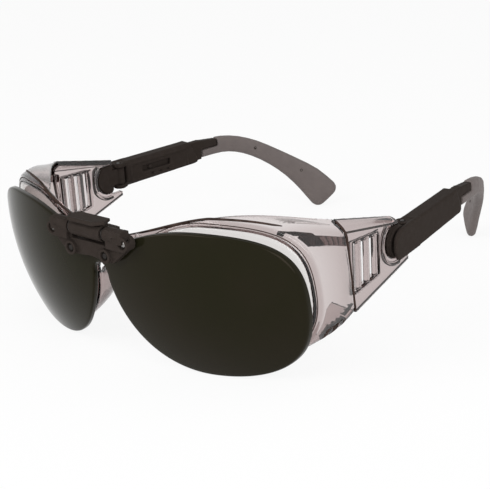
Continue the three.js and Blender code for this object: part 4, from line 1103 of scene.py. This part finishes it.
class SPECTACLES_OT_shade_lines(bpy.types.Operator):
    """Dark beads of painted shade on the frame: along the brow crease, round the lips of the lenses and at
    the joints of the shields
    """

    bl_idname = "spectacles.seams"
    bl_label = "Shade lines"

    def execute(self, context):
        sizes = context.scene.spectacle_sizes
        rim, height = in_mm(sizes.rim_width), in_mm(sizes.lip_height)
        face = RIM_FRONT + height
        lip = evenly(eye_outline(in_mm(sizes.rim_lip)), LIP_SHADE_STEPS)
        brow = on_shell(at_shares(rim_run(rim), np.linspace(*BROW_SHADE, BROW_SHADE_STEPS)), face)
        shares = np.linspace(*ROOF_SHADE, BROW_SHADE_STEPS)[:, None]
        roof = wall_rows(rim, face, ROOF_SHADE_LEAN * shares[..., None], shares)[:, 0]
        crease = np.vstack([brow, roof])
        taper = np.sqrt(np.sin(np.linspace(0, math.pi, len(crease))).clip(0))
        x, z = at_shares(channel_edge(), np.linspace(*JOINT_SHADE_RUN, JOINT_SHADE_STEPS)).T
        joint = np.stack([x - JOINT_SHADE_SUNK, joint_depth(z) + SHIELD_GAP / 2, z], axis=-1)
        for side, way in SIDES.items():
            skin = Skin()
            skin.tube(on_shell(lip, RIM_FRONT + height / 2), LIP_SHADE, closed=True)
            skin.tube(crease, BROW_SHADE_RADIUS * (BROW_SHADE_END + (1 - BROW_SHADE_END) * taper))
            skin.tube(joint, JOINT_SHADE)
            piece = skin.sided(way).piece(f"frame_shade_lines_{side}")
            settle(piece, "front", "smoke_clear", finish="painted_shade_smoke")
        return {"FINISHED"}


class SPECTACLES_OT_lenses(bpy.types.Operator):
    """Clear lenses held in the rims"""

    bl_idname = "spectacles.lenses"
    bl_label = "Clear lenses"

    def execute(self, context):
        sizes = context.scene.spectacle_sizes
        thickness = in_mm(sizes.lens_thickness)
        front = RIM_FRONT + (in_mm(sizes.rim_depth) - thickness) / 2
        for side, way in SIDES.items():
            outline = evenly(eye_outline(-LENS_GAP), LENS_STEPS) * np.array((way, 1))
            skin = Skin()
            loop = plate_edge(skin, outline, front, thickness, LENS_EDGE)
            for inset in (front, front + thickness):
                skin.disc(loop, (LENS_HEART[0] * way, LENS_HEART[1]), inset, LENS_RINGS)
            settle(skin.piece(f"lens_{side}"), "front", "lens_clear", f"clear_lens_{side}")
        return {"FINISHED"}


class SPECTACLES_OT_shields(bpy.types.Operator):
    """Smoky side shields with louvres, sockets and tenons, and dark lines and lugs of painted shade"""

    bl_idname = "spectacles.shields"
    bl_label = "Side shields"

    def execute(self, context):
        sizes = context.scene.spectacle_sizes
        for side, way in SIDES.items():
            skin = Skin()
            self.plate(skin)
            self.flange(skin)
            self.socket(skin)
            self.window(skin)
            piece = moulded(skin.sided(way).piece(f"shield_{side}"), sizes.shield_cell, SKIN_PASSES)
            settle(piece, "front", "smoke_clear", f"side_shield_{side}")
            skin = Skin()
            self.edges(skin)
            piece = skin.sided(way).piece(f"shield_shade_lines_{side}")
            settle(piece, "front", "smoke_clear", finish="painted_shade_smoke")
            # The lugs and the ledge take the opaque dark plastic: painted shade for the tenons' dark look
            # through the wall. The clear blocks are tinted plastic.
            for lugs, name, depth, finish in (
                (LUGS, "lugs", LUG_DEPTH, "painted_shade_smoke"),
                (LEDGE, "ledge", LEDGE_DEPTH, "painted_shade_smoke"),
                (BLOCKS, "blocks", LUG_DEPTH, "smoke_tenon"),
            ):
                skin = Skin()
                for lug in lugs:
                    self.lug(skin, in_mm(sizes.rim_width), depth, *lug)
                piece = skin.sided(way).piece(f"shield_{name}_{side}")
                moulded(piece, sizes.shield_cell, LUG_PASSES)
                settle(piece, "front", "smoke_clear", finish=finish)
        return {"FINISHED"}

    def on_plate(self, corner, x):
        """A point at a height above the plate's outer face."""
        return (JOINT_X + x, *corner)

    def plate(self, skin):
        """The flat side, as strips round the window and a rear part round the socket."""
        corner = JOINT_TOP - CORNER_ROUND
        upper_start = (shield_front(corner), corner)
        lower_start = (shield_front(JOINT_BOTTOM), JOINT_BOTTOM)

        def upper(y):
            rear_corner = (SHIELD_END, SHIELD_END_TOP - CORNER_ROUND)
            return (y, np.interp(y, *zip(upper_start, rear_corner)))

        def lower(y):
            return (y, np.interp(y, *zip(lower_start, (SHIELD_END, SHIELD_END_BOTTOM))))

        lap = SHIELD_GAP
        rear = WINDOW_REAR + lap
        top, bottom = WINDOW_TOP, WINDOW_BOTTOM
        middle = (SOCKET_INNER + SOCKET_OUTER) / 2
        arc = np.array(PIVOT) + middle * spokes(SOCKET_ENDS[1], PLATE_ARC, PLATE_ARC_STEPS)
        front_strip = [
            lower_start,
            (lower_start[0] + lap, JOINT_BOTTOM + lap / 2),
            (WINDOW_FRONT, bottom[0]),
            (WINDOW_FRONT, top[0]),
            upper(WINDOW_FRONT),
            upper_start,
        ]
        lower_strip = [lower_start, lower(rear), (rear, bottom[1]), (WINDOW_FRONT - lap, bottom[0])]
        upper_strip = [
            (shield_front(top[0]), top[0]),
            (WINDOW_FRONT, top[0]),
            (rear, top[1]),
            upper(rear),
            upper_start,
        ]
        rear_part = [
            lower(WINDOW_REAR),
            (SHIELD_END, SHIELD_END_BOTTOM),
            (SHIELD_END, STRIP_TOP),
            *arc,
            upper(WINDOW_REAR),
        ]
        for outline in (front_strip, lower_strip, upper_strip, rear_part):
            skin.prism(outline, -SHIELD_WALL, 0, self.on_plate)

    def flange(self, skin):
        """The rounded upper corner and the flange, from the joint to the socket."""
        shares = np.linspace(0, 1, FLANGE_STEPS)
        x, z = at_shares(upper_corner(JOINT_TOP, FLANGE_WIDTH, FLANGE_RISE).array(), shares).T
        front = np.stack([x, shield_front(z), z], axis=-1)
        x, z = at_shares(upper_corner(SHIELD_END_TOP, SHIELD_END_FLANGE, 0).array(), shares).T
        rear = np.stack([x, np.full(FLANGE_STEPS, SHIELD_END), z], axis=-1)
        along = np.linspace(0, FLANGE_END, FLANGE_ROWS)[:, None, None]
        skin.sheet(front + along * (rear - front), SHIELD_HEART, SHIELD_WALL)

    def socket(self, skin):
        """The C round the tilt pivot, open to the rear, with a raised lip."""
        rays = spokes(*SOCKET_ENDS, SOCKET_STEPS)
        for inner, proud in ((SOCKET_INNER, 0), (SOCKET_OUTER - SOCKET_LIP, SOCKET_PROUD)):
            outline = np.array(PIVOT) + np.vstack([SOCKET_OUTER * rays, inner * rays[::-1]])
            skin.prism(outline, -SHIELD_WALL - proud, proud, self.on_plate)

    def window(self, skin):
        """Raised border of the louvre window and its two rows of rounded slats."""
        span = (WINDOW_FRONT, WINDOW_REAR)
        pitch = (WINDOW_REAR - WINDOW_FRONT) / BARS
        arc = spokes(0, math.pi, SLAT_STEPS)
        outer = [(y, SLAT_FRONT, SLAT_PROUD) for y in WINDOW_FRONT + pitch * (np.arange(BARS) + 0.5)]
        inner = [(y, SLAT_BACK, -SLAT_PROUD) for y in WINDOW_FRONT + pitch * np.arange(BARS + 1)]
        for y, flat, proud in outer + inner:
            low, high = np.interp(y, span, WINDOW_BOTTOM), np.interp(y, span, WINDOW_TOP)
            outline = np.array((y, flat)) + arc * np.array((BAR_WIDTH / 2, proud))
            skin.prism(outline, low - LAP, high + LAP, lambda corner, z: (JOINT_X + corner[1], corner[0], z))
        for x in (0, -SHIELD_WALL):
            for side in self.window_sides():
                ends = [self.on_plate(corner, x) for corner in side]
                skin.tube(np.linspace(*ends, RIB_STEPS), WINDOW_BEAD / 2)

    def window_sides(self):
        """The four sides of the louvre window, as pairs of corners."""
        corners = [
            (WINDOW_FRONT, WINDOW_BOTTOM[0]),
            (WINDOW_REAR, WINDOW_BOTTOM[1]),
            (WINDOW_REAR, WINDOW_TOP[1]),
            (WINDOW_FRONT, WINDOW_TOP[0]),
        ]
        return zip(corners, corners[1:] + corners[:1])

    def edges(self, skin):
        """Dark lines of painted shade inside the plate, along its bends and its lower edge."""
        arc = np.array(PIVOT) + SOCKET_OUTER * spokes(*SOCKET_ENDS, SOCKET_LINE_STEPS)
        lower = [(shield_front(JOINT_BOTTOM), JOINT_BOTTOM + LAP), (SHIELD_END, SHIELD_END_BOTTOM + LAP)]
        for line in (*self.window_sides(), arc, lower):
            skin.tube([self.on_plate(corner, -SHIELD_WALL / 2) for corner in line], BEND_SHADE_LINE)
        tops = (JOINT_TOP, JOINT_TOP + FLANGE_END * (SHIELD_END_TOP - JOINT_TOP))
        depths = (shield_front(JOINT_TOP), JOINT_Y + FLANGE_END * SHIELD_LENGTH)
        heights = [top - drop * CORNER_ROUND for top, drop in zip(tops, CREASE_DROP)]
        crease = [self.on_plate(corner, -CREASE_INSET) for corner in zip(depths, heights)]
        skin.tube(crease, BEND_SHADE_LINE)

    def lug(self, skin, rim, depth, start, end, reach):
        """A ribbed lug that runs along the inside of the frame's wall."""
        low, high = np.linspace(start, end, LUG_ROWS).T[..., None]
        along = np.linspace(*reach, LUG_ROWS)[:, None, None]
        rows = wall_rows(rim, RIM_FRONT, along, low + (high - low) * np.linspace(0, 1, LUG_STEPS))
        ribs = np.maximum(0, np.sin(along * LUG_RIBS * 2 * math.pi))
        skin.sheet(rows, WALL_HEART, LUG_THICKNESS + LUG_RIB * ribs, sunk=depth)


class SPECTACLES_OT_flip_hinge(bpy.types.Operator):
    """Flip hinge: saddle on the bridge and bracket on the visor"""

    bl_idname = "spectacles.flip_hinge"
    bl_label = "Flip hinge"

    def execute(self, context):
        cell = context.scene.spectacle_sizes.hinge_cell
        saddle = Skin().copied("hinge_saddle")
        self.cap_lip(saddle)
        bracket = Skin().copied("flip_bracket")
        self.pin_hoods(bracket)
        for skin, name, body, node in (
            (saddle, "saddle_and_cap", "front", "hinge_saddle"),
            (bracket, "visor_bracket", "visor", "flip_bracket"),
        ):
            piece = moulded(skin.piece(name), cell, SMALL_PASSES)
            settle(piece, body, "black_plastic", node)
        return {"FINISHED"}

    def cap_lip(self, skin):
        """A rounded lip along the cap's bevelled front edge."""
        corner = CAP_HALF - CAP_CORNER
        front = CAP_FRONT + CAP_LIP
        side = CAP_HALF - CAP_LIP
        path = [(-side, front + CAP_CORNER), (-corner, front), (corner, front), (side, front + CAP_CORNER)]
        skin.tube([(x, y, CAP_TOP - CAP_LIP / 2) for x, y in path], CAP_LIP)

    def pin_hoods(self, skin):
        """Hoods over the heads of the flip pin, closed by a block at the arm's end."""
        arc = spokes(0, math.pi, HOOD_STEPS)
        hood = np.vstack([HOOD_OUTER * arc, HOOD_INNER * arc[::-1]])
        half = ARM_BLOCK / 2
        ridge = (0, half + ARM_RIDGE)
        block = [(-half, -half), (half, -half), (half, half), ridge, (-half, half)]
        for way in SIDES.values():
            for outline, start, end in ((hood, *HOOD), (block, HOOD[1], ARM_END)):
                skin.prism(
                    outline, start, end, lambda corner, x: (x * way, FLIP_Y + corner[0], FLIP_Z + corner[1])
                )


class SPECTACLES_OT_fasteners(bpy.types.Operator):
    """Rivets, washers, screws and pins in steel, with clear washers on the upper rivets"""

    bl_idname = "spectacles.fasteners"
    bl_label = "Fasteners"

    def washer(self, node):
        """A round-edged clear washer of an upper rivet, within its packed outline."""
        x, y, z = maker_box(node).mean(axis=0)
        rays = WASHER_RING * spokes(0, 2 * math.pi, WASHER_STEPS, closed=True)
        ring = [(x + across, y, z + up) for across, up in rays]
        piece = Skin().tube(ring, WASHER_EDGE, closed=True).piece(f"round_{node}")
        settle(piece, "visor", "steel", node, finish="smoke_clear")

    def rivet(self, node):
        """An upper rivet: a domed head and a shank that ends in the visor."""
        box = maker_box(node)
        x, _, z = box.mean(axis=0)
        start, end = box[:, 1]
        radius = (box[1][0] - box[0][0]) / 2
        steps = [start + down for down, _ in RIVET_HEAD] + [end - RIVET_TAIL]
        radii = [share * radius for _, share in RIVET_HEAD] + [RIVET_HEAD[-1][1] * radius]
        piece = Skin().tube([(x, y, z) for y in steps], radii).piece(f"domed_{node}")
        settle(piece, "visor", "steel", node)

    def execute(self, context):
        cell = context.scene.spectacle_sizes.metal_cell
        # The friction washers take the blackened steel so that they show as dark slits beside the barrel:
        # painted shade.
        dark = ("flip_pin", "visor_rivet_lower", "rivet_washer_lower", "friction_washer", "fold_pin")
        for node in frame["nodes"]:
            if node.startswith("saddle_screw"):
                dress(node, finish_of("steel"), cell, SMALL_PASSES)
            elif node.startswith("visor_rivet_upper"):
                self.rivet(node)
            elif node.startswith(dark):
                dress(node, finish_of("steel_dark"), cell, SMALL_PASSES)
            elif node.startswith("rivet_washer_upper"):
                self.washer(node)
        return {"FINISHED"}


class SPECTACLES_OT_temples(bpy.types.Operator):
    """Hinge blocks, sleeves and sliders of the temples in satin black"""

    bl_idname = "spectacles.temples"
    bl_label = "Temples"

    def execute(self, context):
        sizes = context.scene.spectacle_sizes
        for side in SIDES:
            self.block(side, sizes.hinge_cell)
            self.sleeve(side, sizes.temple_cell)
            dress(f"temple_slider_{side}", finish_of("black_plastic"), sizes.temple_cell, SKIN_PASSES)
        return {"FINISHED"}

    def block(self, side, cell):
        """Hinge block with a round cheek on its inner side."""
        way = SIDES[side]
        disc = CHEEK_RADIUS * spokes(0, 2 * math.pi, CHEEK_STEPS, closed=True)
        disc[:, 0] = np.minimum(disc[:, 0], CHEEK_REAR)
        skin = Skin().copied(f"hinge_block_{side}")
        skin.prism(
            disc,
            *CHEEK_DEPTH,
            lambda corner, x: (way * (JOINT_X + x), PIVOT[0] + corner[0], PIVOT[1] + corner[1]),
        )
        piece = moulded(skin.piece(f"tilt_block_{side}"), cell, SMALL_PASSES)
        settle(piece, f"block_{side}", "black_plastic", f"hinge_block_{side}")

    def sleeve(self, side, cell):
        """Sleeve with a raised border on its inner face."""
        low, high = PANEL_HEIGHT
        front, rear = PANEL_LENGTH
        border = [(front, low), (rear, low), (rear, high), (front, high), (front, low)]
        skin = Skin().copied(f"temple_sleeve_{side}")
        for (y0, z0), (y1, z1) in zip(border, border[1:]):
            ends = [temple_point(PANEL_X, y0, z0), temple_point(PANEL_X, y1, z1)]
            rib = Skin().tube(np.linspace(*ends, RIB_STEPS), PANEL_RIB).sided(SIDES[side])
            skin.added(rib)
        piece = moulded(skin.piece(f"sleeve_{side}"), cell, SKIN_PASSES)
        settle(piece, f"temple_{side}", "black_plastic", f"temple_sleeve_{side}")


class SPECTACLES_OT_tips(bpy.types.Operator):
    """Grey rubber ear tips with small pin holes, filled with black as painted shade"""

    bl_idname = "spectacles.tips"
    bl_label = "Ear tips"

    def execute(self, context):
        cell = context.scene.spectacle_sizes.temple_cell
        for side in SIDES:
            dress(f"temple_tip_{side}", finish_of("grey_rubber"), cell, TIP_PASSES)
            skin = Skin()
            for at, facing in EYELETS:
                self.eyelet(skin, at, facing)
            piece = skin.sided(SIDES[side]).piece(f"tip_hole_shade_{side}")
            settle(piece, f"slider_{side}", "black_plastic")
        return {"FINISHED"}

    def eyelet(self, skin, at, facing):
        """A small pin hole on a tip's inner face, drawn as painted shade: a black plug inside a rounded
        black ring.
        """
        facing = np.array(facing) / np.linalg.norm(facing)
        side = np.cross(facing, (0, 0, 1))
        up = np.cross(side, facing)
        circle = EYELET_RADIUS * spokes(0, 2 * math.pi, EYELET_STEPS, closed=True)

        def to_point(corner, height):
            return tuple(np.array(at) + corner[0] * side + corner[1] * up + height * facing)

        skin.prism(circle, -EYELET_DEPTH, 0, to_point)
        skin.tube([to_point(corner, 0) for corner in circle], EYELET_RING, closed=True)


class SPECTACLES_OT_stage(bpy.types.Operator):
    """Pale floor, soft studio light and the camera"""

    bl_idname = "spectacles.stage"
    bl_label = "Studio"

    def seen_straight(self, tree):
        """A socket that is 1 for what is seen straight, in a gloss or through clear plastic."""
        path = tree.nodes.new("ShaderNodeLightPath")
        seen = path.outputs["Is Camera Ray"]
        for kind in ("Is Glossy Ray", "Is Transmission Ray"):
            either = tree.nodes.new("ShaderNodeMath")
            either.operation = "MAXIMUM"
            tree.links.new(seen, either.inputs[0])
            tree.links.new(path.outputs[kind], either.inputs[1])
            seen = either.outputs["Value"]
        return seen

    def mix(self, tree, share, first, second, output):
        """Ends a tree in a mix of two shaders."""
        mixed = tree.nodes.new("ShaderNodeMixShader")
        for source, target in zip((share, first.outputs[0], second.outputs[0]), mixed.inputs):
            tree.links.new(source, target)
        tree.links.new(mixed.outputs["Shader"], output.inputs["Surface"])

    def floor(self, studio):
        """The floor, which keeps the spectacles' shadow."""
        mesh = bpy.data.meshes.new("floor")
        signs = ((-1, -1), (1, -1), (1, 1), (-1, 1))
        mesh.from_pydata([(x * FLOOR_HALF, y * FLOOR_HALF, 0) for x, y in signs], [], [(0, 1, 2, 3)])
        floor = bpy.data.objects.new("floor", mesh)
        bpy.context.scene.collection.objects.link(floor)
        material = bpy.data.materials.new("pale floor")
        material.use_nodes = True
        tree = material.node_tree
        tree.nodes.clear()
        output = tree.nodes.new("ShaderNodeOutputMaterial")
        matt = tree.nodes.new("ShaderNodeBsdfDiffuse")
        matt.inputs["Color"].default_value = (*studio.floor, 1)
        glow = tree.nodes.new("ShaderNodeEmission")
        share = tree.nodes.new("ShaderNodeMath")
        share.operation = "MULTIPLY"
        share.inputs[1].default_value = studio.floor_glow
        tree.links.new(self.seen_straight(tree), share.inputs[0])
        self.mix(tree, share.outputs["Value"], matt, glow, output)
        mesh.materials.append(material)

    def sky(self, studio):
        """Light from all around, dim from behind, and plain white where it is seen."""
        world = bpy.data.worlds.new("studio")
        bpy.context.scene.world = world
        world.use_nodes = True
        tree = world.node_tree
        tree.nodes.clear()
        output = tree.nodes.new("ShaderNodeOutputWorld")
        light = tree.nodes.new("ShaderNodeBackground")
        facing = tree.nodes.new("ShaderNodeVectorMath")
        facing.operation = "DOT_PRODUCT"
        facing.inputs[1].default_value = SKY_FRONT
        tree.links.new(tree.nodes.new("ShaderNodeTexCoord").outputs["Generated"], facing.inputs[0])
        strength = spread(tree, facing.outputs["Value"], SKY_FADE, (SKY_REAR, studio.sky))
        tree.links.new(strength, light.inputs["Strength"])
        white = tree.nodes.new("ShaderNodeBackground")
        for background in (light, white):
            background.inputs["Color"].default_value = (1, 1, 1, 1)
        self.mix(tree, self.seen_straight(tree), light, white, output)

    def lamp(self, name, power, size, at):
        """A soft square lamp that looks at the spectacles."""
        data = bpy.data.lights.new(name, "AREA")
        data.energy = power
        data.size = size
        lamp = bpy.data.objects.new(name, data)
        lamp.location = at
        aim = Vector(LAMP_AIM) - Vector(at)
        lamp.rotation_euler = aim.to_track_quat("-Z", "Y").to_euler()
        bpy.context.scene.collection.objects.link(lamp)

    def camera(self):
        """The camera at the photograph's place."""
        data = bpy.data.cameras.new("camera")
        data.sensor_width = SENSOR_WIDTH
        data.lens = SENSOR_WIDTH * CAMERA_FOCUS
        data.clip_start = CLIP_START
        camera = bpy.data.objects.new("camera", data)
        turned = Matrix((CAMERA_RIGHT, CAMERA_UP, CAMERA_BACK)).transposed().to_4x4()
        camera.matrix_world = Matrix.Translation(Vector(place(CAMERA_PLACE))) @ turned
        bpy.context.scene.collection.objects.link(camera)
        bpy.context.scene.camera = camera

    def execute(self, context):
        studio = context.scene.spectacle_studio
        context.scene.view_settings.view_transform = "Standard"
        self.floor(studio)
        self.sky(studio)
        self.lamp("key", studio.key, KEY_SIZE, KEY_PLACE)
        self.lamp("fill", studio.fill, FILL_SIZE, FILL_PLACE)
        self.camera()
        return {"FINISHED"}


OPERATORS = (
    SPECTACLES_OT_visor,
    SPECTACLES_OT_front_frame,
    SPECTACLES_OT_shade_lines,
    SPECTACLES_OT_lenses,
    SPECTACLES_OT_shields,
    SPECTACLES_OT_flip_hinge,
    SPECTACLES_OT_fasteners,
    SPECTACLES_OT_temples,
    SPECTACLES_OT_tips,
    SPECTACLES_OT_stage,
)


class SPECTACLES_PT_panel(bpy.types.Panel):
    """Lists the pieces, their sizes and colours"""

    bl_idname = "SPECTACLES_PT_panel"
    bl_label = "Welding spectacles"
    bl_space_type = "VIEW_3D"
    bl_region_type = "UI"
    bl_category = "Spectacles"

    def draw(self, context):
        layout = self.layout
        for operator in OPERATORS:
            layout.operator(operator.bl_idname)
        for holder in GROUPS:
            box = layout.box()
            group = getattr(context.scene, holder)
            for name in group.bl_rna.properties.keys():
                if name not in {"rna_type", "name"}:
                    box.prop(group, name)


GROUPS = {
    "spectacle_sizes": SpectacleSizes,
    "spectacle_colours": SpectacleColours,
    "spectacle_studio": SpectacleStudio,
}


def register():
    """Adds the properties, operators and panel."""
    for holder, group in GROUPS.items():
        bpy.utils.register_class(group)
        setattr(bpy.types.Scene, holder, bpy.props.PointerProperty(type=group))
    for kind in (*OPERATORS, SPECTACLES_PT_panel):
        bpy.utils.register_class(kind)


def unregister():
    """Takes them away again."""
    for kind in reversed((*OPERATORS, SPECTACLES_PT_panel)):
        bpy.utils.unregister_class(kind)
    for holder, group in GROUPS.items():
        delattr(bpy.types.Scene, holder)
        bpy.utils.unregister_class(group)


def main():
    """Makes every piece and the studio."""
    register()
    for operator in OPERATORS:
        family, call = operator.bl_idname.split(".")
        getattr(getattr(bpy.ops, family), call)()


if __name__ == "__main__":
    main()
